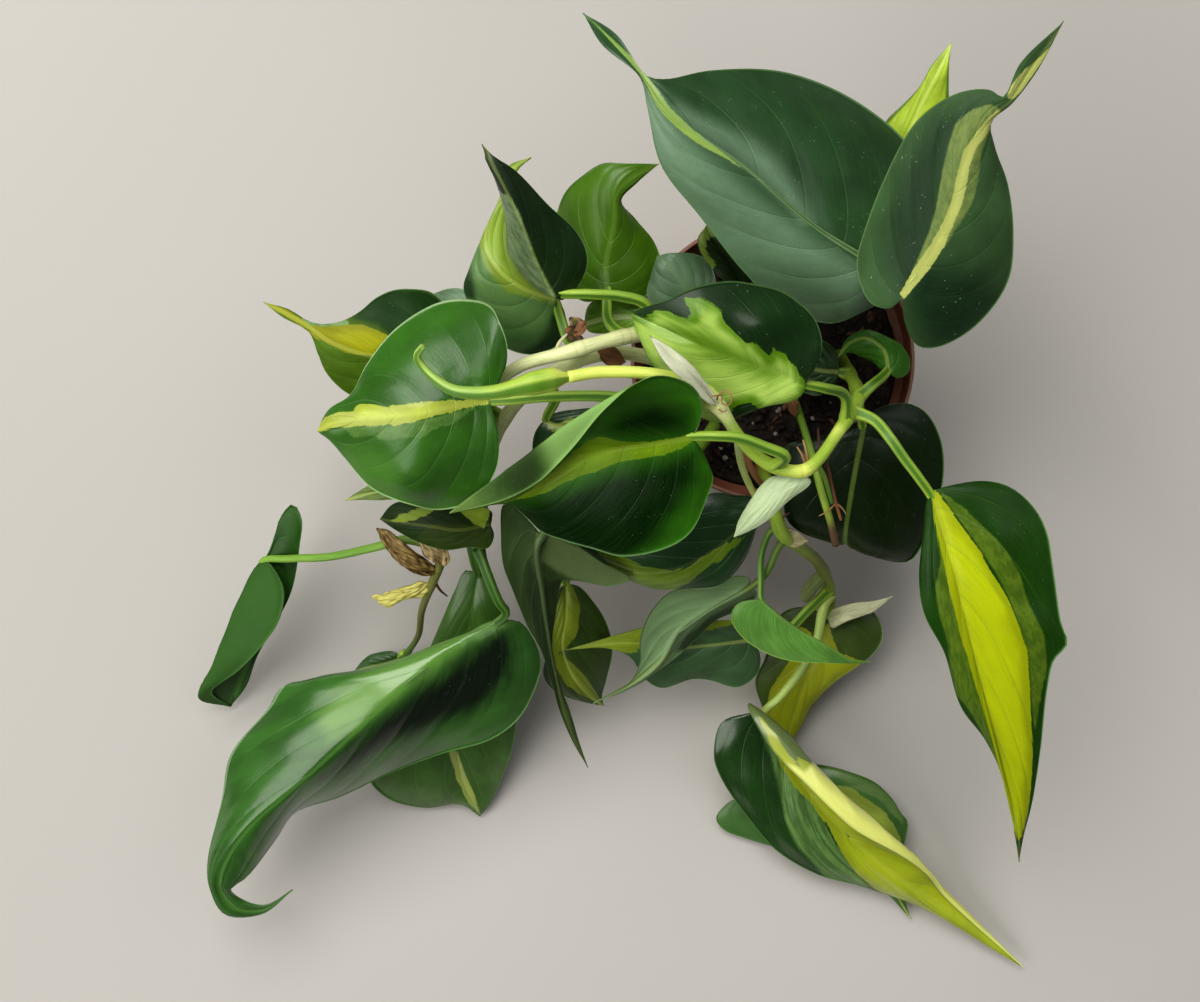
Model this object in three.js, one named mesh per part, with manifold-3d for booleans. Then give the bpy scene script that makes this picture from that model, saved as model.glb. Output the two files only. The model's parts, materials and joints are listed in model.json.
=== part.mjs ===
// A potted brasil philodendron: heart-shaped blades on long petioles, trailing stems, soil and a pot.
// Millimetres, +Z up, origin at the centre of the pot's base.
import * as THREE from "three";
import Module from "manifold-3d";

const wasm = await Module();
wasm.setup();

// The pot is a 105 mm nursery pot.
const RIM_RADIUS = 52.5;
const POT_HEIGHT = 92;
const BASE_RADIUS = 36;
const WALL = 1.4;
const COLLAR_HEIGHT = 12;
const COLLAR_STEP = 1.8;
const DRAIN_HOLES = 6;
const DRAIN_RADIUS = 3;
const DRAIN_RING = 25;
const POT_SIDES = 36;

// The soil stops below the rim, and its top is gently uneven.
const SOIL_TOP = 80;
const SOIL_BUMP = 1.2;
const SOIL_RINGS = 3;
const SOIL_SIDES = 24;

// Stems and petioles.
const STEM_SIDES = 6;
const STEM_STEP = 9;
const KNUCKLE = 0.28;
const KNUCKLE_WIDTH = 5;
const PETIOLE_BASE = 1.9;
const PETIOLE_TOP = 1.45;
const PETIOLE_SIDES = 5;
const PETIOLE_STEP = 13;
const KEEL_END = 0.7;
const KEEL_SHARE = 0.1;

// Blades, the papery sheaths round the nodes, and the air between two pieces that touch.
const BLADE = 0.8;
const SHEATH = 0.7;
const GAP = 0.3;
const BOW = 0.06;

// A vertex closer than this to another is the same vertex.
const WELD = 1e-3;

// Every place of the plant is written as [across, down, height], as it is seen from straight above:
// across and down count from the top left corner of a view 1200 wide and 1002 high, and height is in mm.
const VIEW_HEIGHT = 700;
const VIEW_FOCUS = 1650;
const VIEW_CENTRE = [600, 501];
const VIEW_OVER = [-63.75, -52.3];

function seen([across, down, height]) {
  const scale = (VIEW_HEIGHT - height) / VIEW_FOCUS;
  const x = (across - VIEW_CENTRE[0]) * scale + VIEW_OVER[0];
  const y = (VIEW_CENTRE[1] - down) * scale + VIEW_OVER[1];
  return new THREE.Vector3(x, y, height);
}

// Stems, each from its rooted end in the soil to its growing tip, with its radius at both.
const STEMS = {
  stem_main: {
    radius: [2.9, 2.5],
    line: [
      [838, 352, 45], [838, 352, 74], [851, 376, 100], [858, 400, 120], [838, 432, 132], [818, 460, 139],
      [803, 471, 141], [775, 467, 142], [752, 452, 144], [735, 431, 148], [718, 406, 153], [690, 385, 158],
      [660, 375, 161], [600, 372, 164], [568, 377, 166],
    ],
  },
  stem_left_a: {
    radius: [3.0, 1.7],
    line: [
      [722, 350, 45], [720, 349, 74], [692, 338, 100], [650, 333, 121], [610, 340, 131], [565, 353, 137],
      [520, 366, 136], [488, 392, 128], [466, 432, 114], [456, 480, 92], [449, 515, 79], [441, 560, 70],
      [432, 584, 62], [422, 610, 44], [418, 636, 24], [406, 655, 11],
    ],
  },
  stem_left_b: {
    radius: [2.9, 2.0],
    line: [
      [703, 373, 45], [702, 371, 74], [664, 361, 98], [622, 353, 112], [590, 357, 121], [556, 371, 126],
      [528, 392, 124], [505, 418, 117], [490, 455, 103], [480, 500, 84], [476, 530, 79], [478, 548, 79],
    ],
  },
  stem_low: {
    radius: [2.6, 1.8],
    line: [
      [716, 424, 45], [715, 425, 78], [701, 445, 94], [682, 467, 100], [655, 492, 98], [612, 520, 92],
      [578, 544, 86], [562, 560, 80],
    ],
  },
  stem_front: {
    radius: [2.7, 1.7],
    line: [
      [757, 456, 45], [759, 462, 74], [768, 486, 94], [773, 508, 98], [782, 533, 90], [800, 547, 74],
      [818, 562, 60], [829, 588, 42], [828, 616, 30], [812, 660, 13], [788, 706, 8], [768, 752, 6],
    ],
  },
  stem_top: {
    radius: [3.0, 2.4],
    line: [[825, 306, 45], [832, 301, 82], [840, 298, 92], [852, 294, 104], [866, 287, 114]],
  },
  stem_cut: {
    radius: [2.0, 2.1],
    line: [
      [792, 392, 45], [794, 396, 80], [801, 419, 98], [811, 452, 106], [821, 490, 109], [830, 520, 106],
      [836, 545, 101],
    ],
  },
};

// Leaves, grouped by the stem that bears them.
// petiole: from the stem to the blade, both ends left out.
// rib: the midrib, from the petiole to the tip; its last stretches, counted by drip, are the drip tip.
// right, left: the margins as one looks along the midrib at the upper face, both ends left out.
// right_fold, left_fold: the line midway between midrib and margin, where a half folds or rolls.
// bow: how far the two halves arch up between midrib and margin, as a share of their width.
const LEAVES = {
  stem_top: {
    leaf_upper_left: {
      large: true,
      drip: 2,
      petiole: [[838, 280, 108], [862, 271, 140]],
      rib: [
        [885, 272, 158], [808, 221, 165], [743, 166, 172], [674, 116, 178], [644, 77, 178], [613, 42, 174],
        [583, 13, 166],
      ],
      right: [
        [908, 268, 150], [930, 225, 146], [925, 175, 143], [904, 138, 143], [852, 97, 148], [787, 73, 156],
        [711, 72, 168], [664, 80, 176], [647, 76, 178], [617, 35, 175],
      ],
      left: [
        [890, 295, 150], [868, 309, 143], [830, 323, 138], [780, 303, 140], [743, 270, 148],
        [700, 218, 160],
        [661, 166, 170], [648, 108, 177], [641, 79, 178], [603, 46, 174],
      ],
    },
    leaf_upper_right: {
      large: true,
      drip: 2,
      petiole: [[895, 286, 134], [906, 290, 160]],
      rib: [
        [903, 298, 183], [924, 268, 186], [950, 218, 190], [964, 163, 194], [982, 127, 197],
        [1008, 103, 198], [1030, 70, 194], [1064, 21, 184],
      ],
      right: [
        [905, 322, 178], [918, 346, 172], [940, 347, 170], [975, 327, 170], [1006, 283, 174],
        [1012, 235, 180],
        [1008, 184, 186], [996, 146, 191], [993, 120, 195], [1010, 107, 197], [1038, 70, 193],
      ],
      left: [
        [890, 308, 180], [870, 302, 176], [857, 265, 174], [863, 233, 176], [882, 182, 182],
        [918, 121, 188],
        [958, 94, 194], [990, 90, 198], [1003, 97, 199], [1020, 64, 196],
      ],
    },
    leaf_back_pale: {
      petiole: [[838, 270, 104], [852, 238, 119]],
      rib: [[868, 215, 126], [895, 160, 134], [925, 95, 142], [940, 66, 145], [952, 42, 146]],
      right: [
        [885, 225, 122], [915, 215, 124], [940, 170, 130], [949, 115, 138], [948, 86, 142], [948, 62, 145],
      ],
      left: [
        [858, 208, 124], [862, 175, 124], [876, 140, 130], [889, 119, 134], [903, 104, 137],
        [918, 87, 141], [932, 65, 145],
      ],
    },
    leaf_back_young: {
      petiole: [[816, 300, 90], [780, 302, 112]],
      rib: [[745, 288, 128], [730, 262, 131], [714, 240, 134], [706, 226, 135]],
      right: [[752, 280, 128], [748, 270, 130], [735, 250, 133], [714, 231, 135]],
      left: [[738, 290, 128], [720, 276, 130], [703, 257, 132], [698, 239, 134]],
    },
  },
  stem_main: {
    leaf_middle: {
      large: true,
      petiole: [[845, 396, 136], [825, 388, 146]],
      rib: [
        [804, 386, 150], [775, 372, 153], [744, 362, 155], [703, 346, 156], [662, 327, 153],
        [631, 313, 150],
      ],
      right: [
        [808, 378, 152], [819, 360, 158], [822, 341, 162], [815, 319, 165], [800, 303, 167],
        [780, 290, 168],
        [754, 284, 168], [734, 281, 168], [713, 283, 167], [691, 289, 165], [668, 300, 160],
        [648, 306, 155],
      ],
      left: [
        [803, 393, 148], [795, 400, 147], [764, 407, 146], [744, 415, 143], [722, 423, 140],
        [698, 416, 138],
        [675, 395, 139], [656, 370, 141], [648, 358, 144], [640, 339, 147], [634, 322, 149],
      ],
    },
    leaf_centre: {
      large: true,
      petiole: [[785, 456, 151], [765, 447, 154], [740, 438, 156], [715, 436, 156]],
      rib: [
        [691, 438, 153], [660, 443, 152], [631, 447, 151], [593, 456, 147], [555, 479, 140],
        [505, 501, 135], [450, 513, 131],
      ],
      right: [
        [698, 426, 157], [702, 402, 166], [690, 384, 172], [660, 375, 176], [640, 381, 177],
        [604, 410, 170],
        [574, 446, 158], [555, 467, 151], [539, 482, 146], [505, 500, 137],
      ],
      right_fold: [
        [695, 430, 154], [692, 414, 157], [665, 407, 159], [632, 408, 161], [598, 417, 163],
        [564, 431, 158],
        [522, 459, 149], [480, 490, 138],
      ],
      left: [
        [700, 447, 151], [709, 466, 149], [713, 478, 147], [708, 495, 145], [692, 530, 141],
        [670, 546, 138],
        [622, 556, 134], [593, 549, 132], [564, 541, 130], [541, 532, 128], [527, 518, 128],
        [508, 504, 133],
      ],
    },
    leaf_left_big: {
      large: true,
      petiole: [[690, 402, 150], [650, 401, 150], [600, 396, 151], [545, 397, 152], [512, 400, 151]],
      rib: [
        [489, 402, 150], [456, 406, 151], [422, 413, 151], [380, 417, 148], [335, 422, 141],
        [317, 431, 136],
      ],
      right: [
        [495, 388, 150], [506, 365, 152], [507, 345, 153], [499, 321, 155], [489, 305, 153],
        [465, 299, 148],
        [436, 304, 143], [396, 330, 140], [367, 365, 140], [350, 394, 141], [328, 409, 140],
      ],
      left: [
        [493, 412, 149], [499, 440, 146], [495, 472, 138], [472, 502, 129], [439, 511, 127],
        [413, 506, 131],
        [374, 489, 131], [345, 456, 133], [330, 440, 137],
      ],
    },
    leaf_right_yellow: {
      large: true,
      petiole: [[874, 420, 128], [890, 438, 132], [904, 458, 131], [919, 478, 129]],
      rib: [
        [931, 492, 126], [951, 560, 124], [968, 630, 116], [985, 700, 104], [1003, 770, 88],
        [1018, 835, 72], [1019, 862, 62],
      ],
      right: [
        [927, 500, 125], [924, 529, 123], [919, 580, 119], [925, 615, 116], [946, 654, 110],
        [961, 707, 101],
        [984, 740, 94], [1002, 779, 85], [1015, 830, 73],
      ],
      left: [
        [945, 487, 126], [984, 481, 126], [1010, 487, 126], [1033, 506, 125], [1047, 531, 124],
        [1054, 570, 122],
        [1061, 623, 119], [1067, 643, 117], [1053, 660, 112], [1046, 690, 107], [1040, 751, 93],
        [1033, 802, 81],
        [1024, 838, 71],
      ],
    },
    leaf_right_dark: {
      petiole: [[859, 408, 107]],
      rib: [
        [864, 427, 102], [856, 465, 101], [850, 500, 98], [846, 530, 90], [846, 544, 80], [850, 535, 66],
      ],
      right: [
        [856, 427, 101], [840, 432, 100], [812, 440, 99], [786, 446, 98], [783, 485, 98], [786, 516, 90],
        [800, 530, 84], [826, 540, 80],
      ],
      left: [
        [868, 415, 102], [885, 406, 102], [905, 403, 101], [925, 412, 99], [940, 440, 95], [943, 480, 90],
        [930, 530, 82], [912, 560, 76], [898, 562, 75], [868, 552, 78],
      ],
    },
    leaf_curly: {
      petiole: [[870, 387, 121]],
      rib: [[888, 371, 116], [884, 350, 119], [868, 338, 119], [852, 342, 115], [838, 357, 108]],
      right: [
        [897, 378, 114], [908, 373, 115], [910, 360, 117], [902, 346, 119], [890, 338, 121],
        [868, 330, 121], [847, 338, 115],
      ],
      left: [[880, 368, 112], [870, 362, 109], [860, 355, 110], [854, 352, 112], [848, 353, 110]],
    },
    leaf_inner_dark: {
      petiole: [],
      rib: [[838, 372, 100], [818, 370, 101], [798, 362, 100], [775, 352, 96]],
      right: [[838, 356, 100], [822, 340, 99], [802, 336, 97], [784, 345, 96]],
      left: [[834, 386, 99], [818, 395, 98], [798, 388, 96], [781, 368, 95]],
    },
  },
  stem_left_a: {
    leaf_left_dark: {
      petiole: [[650, 318, 134], [644, 303, 139], [620, 296, 141], [590, 294, 142]],
      rib: [
        [554, 296, 142], [546, 282, 146], [536, 262, 152], [525, 232, 160], [508, 195, 167],
        [490, 160, 171], [482, 144, 170],
      ],
      right: [
        [562, 300, 140], [576, 288, 141], [586, 268, 143], [586, 250, 146], [576, 230, 150],
        [549, 205, 157],
        [515, 172, 166], [493, 156, 171],
      ],
      left: [
        [546, 294, 140], [532, 285, 139], [519, 271, 140], [510, 253, 143], [507, 225, 150],
        [499, 197, 158],
        [492, 172, 166], [486, 158, 171],
      ],
    },
    leaf_left_yellow: {
      large: true,
      petiole: [[567, 337, 128], [560, 316, 127]],
      rib: [
        [556, 300, 130], [523, 288, 131], [499, 270, 133], [486, 246, 134], [487, 225, 135],
        [500, 200, 136], [511, 172, 137], [531, 157, 134],
      ],
      right: [
        [556, 290, 130], [548, 270, 131], [530, 255, 132], [515, 235, 133], [510, 215, 134],
        [513, 190, 136],
        [518, 170, 137],
      ],
      left: [
        [562, 306, 127], [566, 325, 122], [557, 345, 117], [530, 354, 115], [500, 345, 117],
        [474, 315, 121],
        [463, 289, 124], [470, 267, 128], [481, 243, 131], [491, 223, 133], [502, 195, 135],
        [507, 168, 136],
      ],
    },
    leaf_left_green: {
      petiole: [[609, 322, 122], [607, 304, 117]],
      rib: [
        [607, 289, 117], [606, 263, 120], [613, 230, 124], [617, 197, 127], [630, 178, 128],
        [659, 164, 125],
      ],
      right: [
        [615, 300, 115], [635, 303, 112], [652, 287, 111], [660, 266, 112], [655, 243, 114],
        [636, 218, 119],
        [621, 200, 124], [636, 182, 126],
      ],
      left: [
        [598, 300, 115], [580, 300, 111], [566, 282, 108], [557, 255, 106], [556, 228, 108],
        [561, 205, 111],
        [568, 190, 115], [582, 176, 121], [602, 163, 126], [628, 163, 128],
      ],
    },
    leaf_left_small: {
      petiole: [[655, 322, 108]],
      rib: [[643, 316, 106], [612, 318, 104], [597, 321, 101], [584, 325, 98]],
      right: [[645, 306, 105], [630, 298, 104], [605, 297, 102], [588, 306, 100]],
      left: [[642, 326, 105], [625, 333, 104], [605, 334, 101], [590, 331, 99]],
    },
    leaf_back_grey: {
      petiole: [[494, 366, 124], [484, 346, 110]],
      rib: [[480, 322, 101], [455, 308, 100], [435, 302, 98], [412, 300, 95]],
      right: [[482, 305, 100], [468, 292, 99], [447, 289, 98], [425, 296, 96]],
      left: [[472, 330, 100], [450, 325, 98], [428, 310, 96]],
    },
    leaf_back_round: {
      petiole: [[712, 330, 106]],
      rib: [[706, 316, 118], [690, 295, 122], [676, 275, 124], [664, 262, 124], [657, 256, 122]],
      right: [[714, 310, 118], [716, 288, 121], [710, 262, 122], [695, 254, 123], [672, 254, 124]],
      left: [[695, 325, 117], [670, 322, 116], [652, 308, 116], [646, 292, 118], [652, 272, 121]],
    },
    leaf_left_tiny: {
      petiole: [[450, 462, 115]],
      rib: [[430, 476, 112], [395, 488, 108], [365, 494, 104], [344, 501, 100]],
      right: [[425, 465, 111], [398, 472, 109], [372, 484, 106], [358, 491, 103]],
      left: [[428, 490, 111], [405, 499, 108], [384, 500, 106], [364, 499, 103]],
    },
    leaf_side_left: {
      petiole: [[407, 540, 71], [378, 547, 65], [330, 557, 54], [290, 559, 46]],
      rib: [[264, 560, 40], [268, 600, 32], [260, 640, 25], [246, 672, 16], [231, 706, 5]],
      right: [
        [272, 566, 45], [284, 590, 47], [279, 619, 45], [262, 646, 39], [240, 668, 30], [212, 692, 20],
      ],
      right_fold: [[256, 568, 40], [243, 596, 38], [228, 626, 34], [213, 664, 27], [201, 697, 17]],
      left: [
        [272, 548, 43], [280, 518, 46], [293, 504, 47], [302, 520, 46], [300, 545, 43], [292, 590, 37],
        [275, 625, 30], [258, 655, 22], [247, 686, 12],
      ],
    },
    leaf_lower_tiny: {
      petiole: [],
      rib: [[398, 660, 10], [385, 664, 9], [368, 668, 7], [352, 674, 4]],
      right: [[397, 653, 10], [385, 651, 9], [366, 658, 6]],
      left: [[397, 669, 9], [385, 675, 7], [368, 676, 5]],
    },
  },
  stem_left_b: {
    leaf_low_big: {
      large: true,
      drip: 3,
      petiole: [[486, 571, 81], [499, 602, 78], [506, 613, 75]],
      rib: [
        [504, 620, 72], [450, 650, 77], [379, 710, 78], [308, 776, 70], [244, 833, 60], [219, 882, 48],
        [234, 907, 40], [262, 909, 37], [293, 890, 38],
      ],
      right: [
        [488, 622, 72], [455, 641, 72], [391, 665, 68], [331, 682, 64], [284, 687, 60], [268, 710, 57],
        [230, 755, 53], [221, 798, 52], [207, 860, 49], [209, 886, 47], [226, 915, 39], [262, 914, 36],
      ],
      left: [
        [520, 622, 70], [534, 640, 66], [541, 662, 62], [536, 686, 58], [518, 720, 54], [490, 741, 52],
        [440, 755, 50], [391, 772, 48], [340, 795, 46], [294, 812, 45], [275, 840, 45], [247, 878, 46],
        [231, 890, 47], [241, 899, 41], [264, 905, 38],
      ],
    },
    leaf_low_behind: {
      large: true,
      petiole: [[470, 534, 73], [474, 560, 68]],
      rib: [
        [478, 574, 60], [470, 620, 54], [458, 680, 44], [455, 740, 30], [462, 780, 16], [471, 802, 9],
        [480, 816, 3],
      ],
      right: [
        [466, 570, 60], [455, 590, 57], [440, 625, 50], [425, 660, 42], [395, 720, 27], [368, 775, 14],
        [388, 798, 9], [425, 807, 6], [460, 804, 6],
      ],
      left: [
        [490, 575, 59], [500, 600, 56], [508, 640, 50], [514, 690, 40], [516, 724, 32], [512, 750, 24],
        [500, 782, 13], [488, 806, 6],
      ],
    },
    leaf_far_left: {
      drip: 2,
      petiole: [[492, 410, 117], [468, 380, 113]],
      rib: [
        [442, 352, 108], [405, 356, 110], [372, 356, 112], [331, 342, 114], [309, 327, 114],
        [285, 313, 111], [263, 302, 106],
      ],
      right: [
        [446, 335, 106], [448, 310, 104], [432, 292, 104], [410, 289, 106], [393, 291, 107],
        [376, 299, 109],
        [360, 312, 111], [338, 322, 113], [312, 322, 114], [289, 309, 111],
      ],
      left: [
        [442, 370, 106], [425, 392, 102], [395, 405, 100], [365, 402, 102], [345, 392, 104],
        [327, 372, 108],
        [319, 353, 111], [310, 332, 113], [283, 317, 110],
      ],
    },
    leaf_behind_centre: {
      petiole: [[556, 396, 119]],
      rib: [[544, 421, 114], [575, 431, 115], [608, 444, 115], [640, 458, 112]],
      right: [[535, 433, 113], [534, 455, 111], [553, 472, 110], [590, 480, 110], [620, 472, 110]],
      left: [[553, 414, 114], [575, 409, 114], [605, 412, 114], [630, 435, 113]],
    },
    leaf_under_left: {
      petiole: [],
      rib: [[489, 524, 94], [460, 530, 95], [430, 526, 95], [405, 523, 93], [380, 519, 89]],
      right: [[492, 512, 95], [475, 505, 95], [445, 500, 95], [415, 500, 94], [393, 504, 92]],
      left: [
        [494, 535, 94], [488, 548, 93], [470, 547, 93], [445, 550, 92], [420, 543, 91], [395, 529, 90],
      ],
    },
  },
  stem_low: {
    leaf_hanging_back: {
      large: true,
      drip: 2,
      petiole: [[580, 524, 100], [558, 525, 108]],
      rib: [
        [538, 533, 111], [541, 580, 104], [546, 620, 92], [553, 660, 76], [564, 708, 57], [576, 742, 40],
        [588, 767, 26],
      ],
      right: [
        [560, 536, 112], [602, 562, 104], [630, 578, 98], [612, 586, 95], [582, 582, 96], [566, 578, 96],
        [556, 617, 88], [552, 646, 79], [558, 680, 67], [569, 707, 57], [579, 741, 40],
      ],
      left: [
        [526, 518, 113], [511, 505, 114], [503, 505, 113], [501, 536, 110], [503, 564, 106], [513, 590, 99],
        [527, 625, 88], [541, 651, 78], [553, 687, 65], [559, 709, 57], [573, 742, 40],
      ],
    },
    leaf_inner_yellow: {
      petiole: [[563, 573, 73]],
      rib: [[566, 584, 66], [566, 615, 62], [562, 645, 56], [572, 675, 46], [588, 694, 37], [604, 706, 30]],
      right: [
        [556, 592, 66], [552, 615, 61], [548, 645, 54], [543, 676, 44], [554, 690, 40], [582, 700, 34],
      ],
      left: [
        [578, 586, 67], [592, 600, 63], [605, 620, 58], [612, 650, 50], [607, 680, 41], [602, 697, 34],
      ],
    },
  },
  stem_front: {
    leaf_under_centre: {
      large: true,
      petiole: [],
      rib: [
        [760, 508, 106], [735, 533, 106], [712, 551, 104], [680, 567, 101], [640, 572, 97], [600, 558, 93],
        [572, 543, 89],
      ],
      right: [
        [752, 497, 107], [734, 495, 108], [712, 493, 109], [695, 505, 110], [670, 520, 109],
        [640, 530, 105],
        [612, 540, 99], [588, 544, 93],
      ],
      left: [
        [760, 520, 104], [755, 532, 102], [748, 552, 99], [735, 572, 96], [718, 586, 94], [690, 589, 92],
        [657, 589, 91], [630, 580, 91], [596, 560, 91],
      ],
    },
    leaf_front_folded: {
      large: true,
      petiole: [[778, 548, 86], [765, 575, 82]],
      rib: [[748, 586, 78], [714, 606, 77], [681, 629, 74], [662, 661, 70], [640, 680, 66], [593, 703, 56]],
      right: [
        [757, 594, 74], [748, 606, 69], [717, 621, 64], [697, 639, 61], [676, 656, 60], [653, 673, 60],
        [632, 688, 62],
      ],
      left: [
        [750, 579, 80], [738, 576, 82], [715, 583, 83], [691, 586, 83], [671, 591, 82], [654, 608, 81],
        [645, 625, 79], [640, 644, 75], [640, 660, 71], [630, 680, 66],
      ],
    },
    leaf_front_small: {
      petiole: [[772, 530, 91], [762, 552, 88], [761, 580, 85]],
      rib: [[762, 600, 82], [784, 619, 80], [808, 635, 76], [832, 648, 70], [850, 659, 65], [870, 662, 60]],
      right: [
        [750, 600, 82], [736, 605, 81], [731, 618, 79], [738, 632, 76], [750, 644, 73], [769, 655, 70],
        [792, 661, 68], [824, 662, 66], [848, 663, 64],
      ],
      left: [[768, 609, 78], [779, 626, 70], [800, 642, 64], [825, 653, 61], [846, 661, 62]],
    },
    leaf_front_low: {
      petiole: [[808, 610, 46], [780, 636, 45]],
      rib: [[752, 640, 46], [710, 645, 48], [670, 648, 51], [640, 643, 54], [612, 643, 58], [566, 650, 66]],
      right: [
        [755, 625, 45], [731, 620, 46], [714, 620, 47], [690, 618, 49], [660, 620, 52], [640, 628, 56],
        [610, 637, 59],
      ],
      left: [
        [760, 655, 43], [757, 674, 40], [738, 687, 38], [710, 681, 40], [693, 680, 42], [662, 688, 43],
        [645, 678, 47], [630, 656, 53], [606, 648, 58],
      ],
    },
    leaf_front_yellow: {
      petiole: [],
      rib: [[829, 624, 31], [816, 655, 28], [802, 690, 22], [792, 722, 16], [786, 748, 12]],
      right: [
        [822, 614, 33], [812, 609, 33], [798, 607, 32], [782, 613, 31], [772, 630, 29], [765, 658, 26],
        [755, 682, 20], [762, 706, 16], [776, 732, 13],
      ],
      left: [
        [840, 614, 32], [850, 603, 32], [862, 603, 31], [880, 620, 29], [883, 636, 28], [874, 652, 26],
        [854, 667, 24], [836, 680, 21], [816, 702, 18], [799, 732, 13],
      ],
    },
    leaf_front_right: {
      large: true,
      petiole: [[823, 608, 43], [817, 640, 41], [804, 666, 40], [780, 697, 36]],
      rib: [
        [757, 712, 34], [782, 750, 30], [815, 800, 27], [860, 848, 24], [905, 885, 20], [942, 910, 14],
        [1022, 967, 4],
      ],
      right: [
        [746, 714, 33], [722, 722, 31], [714, 755, 27], [721, 778, 23], [746, 817, 18], [776, 851, 14],
        [819, 874, 11], [861, 884, 10], [905, 900, 9], [940, 918, 8],
      ],
      left: [
        [748, 706, 38], [752, 717, 42], [773, 751, 46], [804, 782, 48], [830, 808, 46], [853, 828, 43],
        [900, 854, 35], [928, 876, 26], [946, 898, 18],
      ],
      left_fold: [
        [750, 704, 37], [762, 712, 40], [781, 729, 42], [816, 765, 43], [835, 785, 42], [870, 817, 38],
        [898, 843, 33], [922, 866, 26], [946, 890, 17],
      ],
    },
    leaf_front_right_low: {
      petiole: [[752, 778, 7]],
      rib: [[742, 797, 9], [790, 812, 12], [840, 838, 11], [882, 875, 8], [911, 919, 3]],
      right: [
        [728, 803, 8], [716, 818, 6], [724, 830, 5], [745, 838, 4], [790, 850, 4], [840, 872, 3],
        [884, 892, 3],
      ],
      left: [
        [748, 788, 10], [770, 772, 13], [800, 764, 16], [828, 766, 17], [853, 773, 18], [876, 783, 17],
        [893, 800, 15], [900, 812, 14], [907, 821, 13], [903, 849, 10], [900, 880, 7],
      ],
    },
  },
};

// Papery sheaths, grouped the same way: a rib and two margins each, and no petiole.
const SHEATHS = {
  stem_main: {
    sheath_main_upper: {
      rib: [[718, 406, 155], [690, 375, 168], [668, 352, 173], [650, 336, 177]],
      right: [[715, 396, 160], [695, 369, 168], [670, 347, 174]],
      left: [[706, 402, 162], [684, 382, 169], [661, 358, 174]],
    },
    sheath_main_lower: {
      rib: [[803, 474, 140], [785, 487, 138], [762, 508, 134], [734, 537, 124]],
      right: [[790, 474, 137], [770, 478, 135], [750, 500, 131], [739, 520, 127]],
      left: [[811, 482, 138], [786, 503, 135], [764, 522, 131], [746, 533, 127]],
    },
  },
  stem_front: {
    sheath_front_dry: {
      rib: [[784, 534, 90], [794, 541, 86], [808, 541, 84]],
      right: [[784, 543, 86], [796, 547, 84]],
      left: [[788, 528, 91], [798, 532, 88]],
    },
    sheath_front_flap: {
      rib: [[824, 572, 54], [812, 585, 52], [801, 600, 48]],
      right: [[817, 572, 54], [806, 582, 51], [801, 591, 49]],
      left: [[825, 582, 50], [815, 594, 49], [806, 602, 47]],
    },
    sheath_front_node: {
      rib: [[829, 618, 32], [850, 612, 40], [871, 607, 42], [893, 596, 43]],
      right: [[832, 628, 35], [848, 621, 39], [872, 612, 41]],
      left: [[832, 610, 38], [850, 603, 41], [872, 601, 42]],
    },
  },
  stem_left_a: {
    sheath_left_brown: {
      rib: [[438, 572, 66], [420, 568, 74], [400, 556, 76], [377, 528, 78]],
      right: [[430, 562, 72], [410, 548, 77], [388, 530, 79]],
      left: [[425, 576, 72], [402, 566, 75], [382, 542, 77]],
    },
    sheath_left_dry: {
      rib: [[441, 565, 69], [440, 556, 76], [432, 545, 79], [420, 534, 80]],
      right: [[449, 562, 73], [449, 553, 77], [436, 538, 80]],
      left: [[433, 562, 73], [423, 552, 76], [417, 541, 79]],
    },
    sheath_left_yellow: {
      rib: [[432, 583, 62], [418, 590, 62], [398, 592, 60], [372, 597, 55]],
      right: [[424, 582, 64], [405, 586, 62], [388, 592, 58]],
      left: [[425, 594, 59], [405, 600, 57], [386, 606, 55]],
    },
  },
};

// The rolled new leaf at the end of the main stem, with its radius at each point.
const NEW_LEAF = {
  line: [
    [568, 377, 166], [552, 379, 168], [538, 382, 169], [520, 386, 169], [500, 391, 168], [474, 393, 166],
    [453, 390, 165], [436, 380, 164], [422, 366, 164], [417, 356, 166], [423, 346, 169],
  ],
  radius: [2.4, 3.9, 3.9, 2.7, 2.3, 2.2, 2.0, 1.7, 1.5, 1.3, 1.0],
};

const POT_COLOUR = 0x7e3e2b;
const SOIL_COLOUR = 0x1d1611;
const STEM_COLOUR = 0xb6bf52;
const LEAF_COLOUR = 0x2f6320;
const PALE_COLOUR = 0xa9bd2c;
const SHEATH_COLOUR = 0xc9cfa0;
const PALE_LEAVES = ["leaf_back_pale", "leaf_inner_yellow", "leaf_front_yellow", "leaf_right_yellow"];

// Loose triangles tidied: near vertices become one, and triangles that collapse are dropped.
function weld(vertices, triangles) {
  const numbers = new Map();
  const kept = [];
  const renamed = vertices.map((vertex) => {
    const key = [vertex.x, vertex.y, vertex.z].map((value) => Math.round(value / WELD)).join();
    if (!numbers.has(key)) {
      numbers.set(key, kept.length);
      kept.push(vertex);
    }
    return numbers.get(key);
  });
  const whole = triangles
    .map((triangle) => triangle.map((index) => renamed[index]))
    .filter(([a, b, c]) => a !== b && b !== c && c !== a);
  return { vertices: kept, triangles: whole };
}

function solid(vertices, triangles) {
  const welded = weld(vertices, triangles);
  return new wasm.Manifold(
    new wasm.Mesh({
      numProp: 3,
      vertProperties: new Float32Array(welded.vertices.flatMap((vertex) => vertex.toArray())),
      triVerts: new Uint32Array(welded.triangles.flat()),
    }),
  );
}

function curveThrough(points) {
  const curve = new THREE.CatmullRomCurve3(points, false, "centripetal");
  curve.arcLengthDivisions = 24 * (points.length - 1);
  return curve;
}

// The share of a curve's length that lies before one of its points.
function shareOf(curve, index) {
  const lengths = curve.getLengths();
  return lengths[24 * index] / lengths[lengths.length - 1];
}

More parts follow.
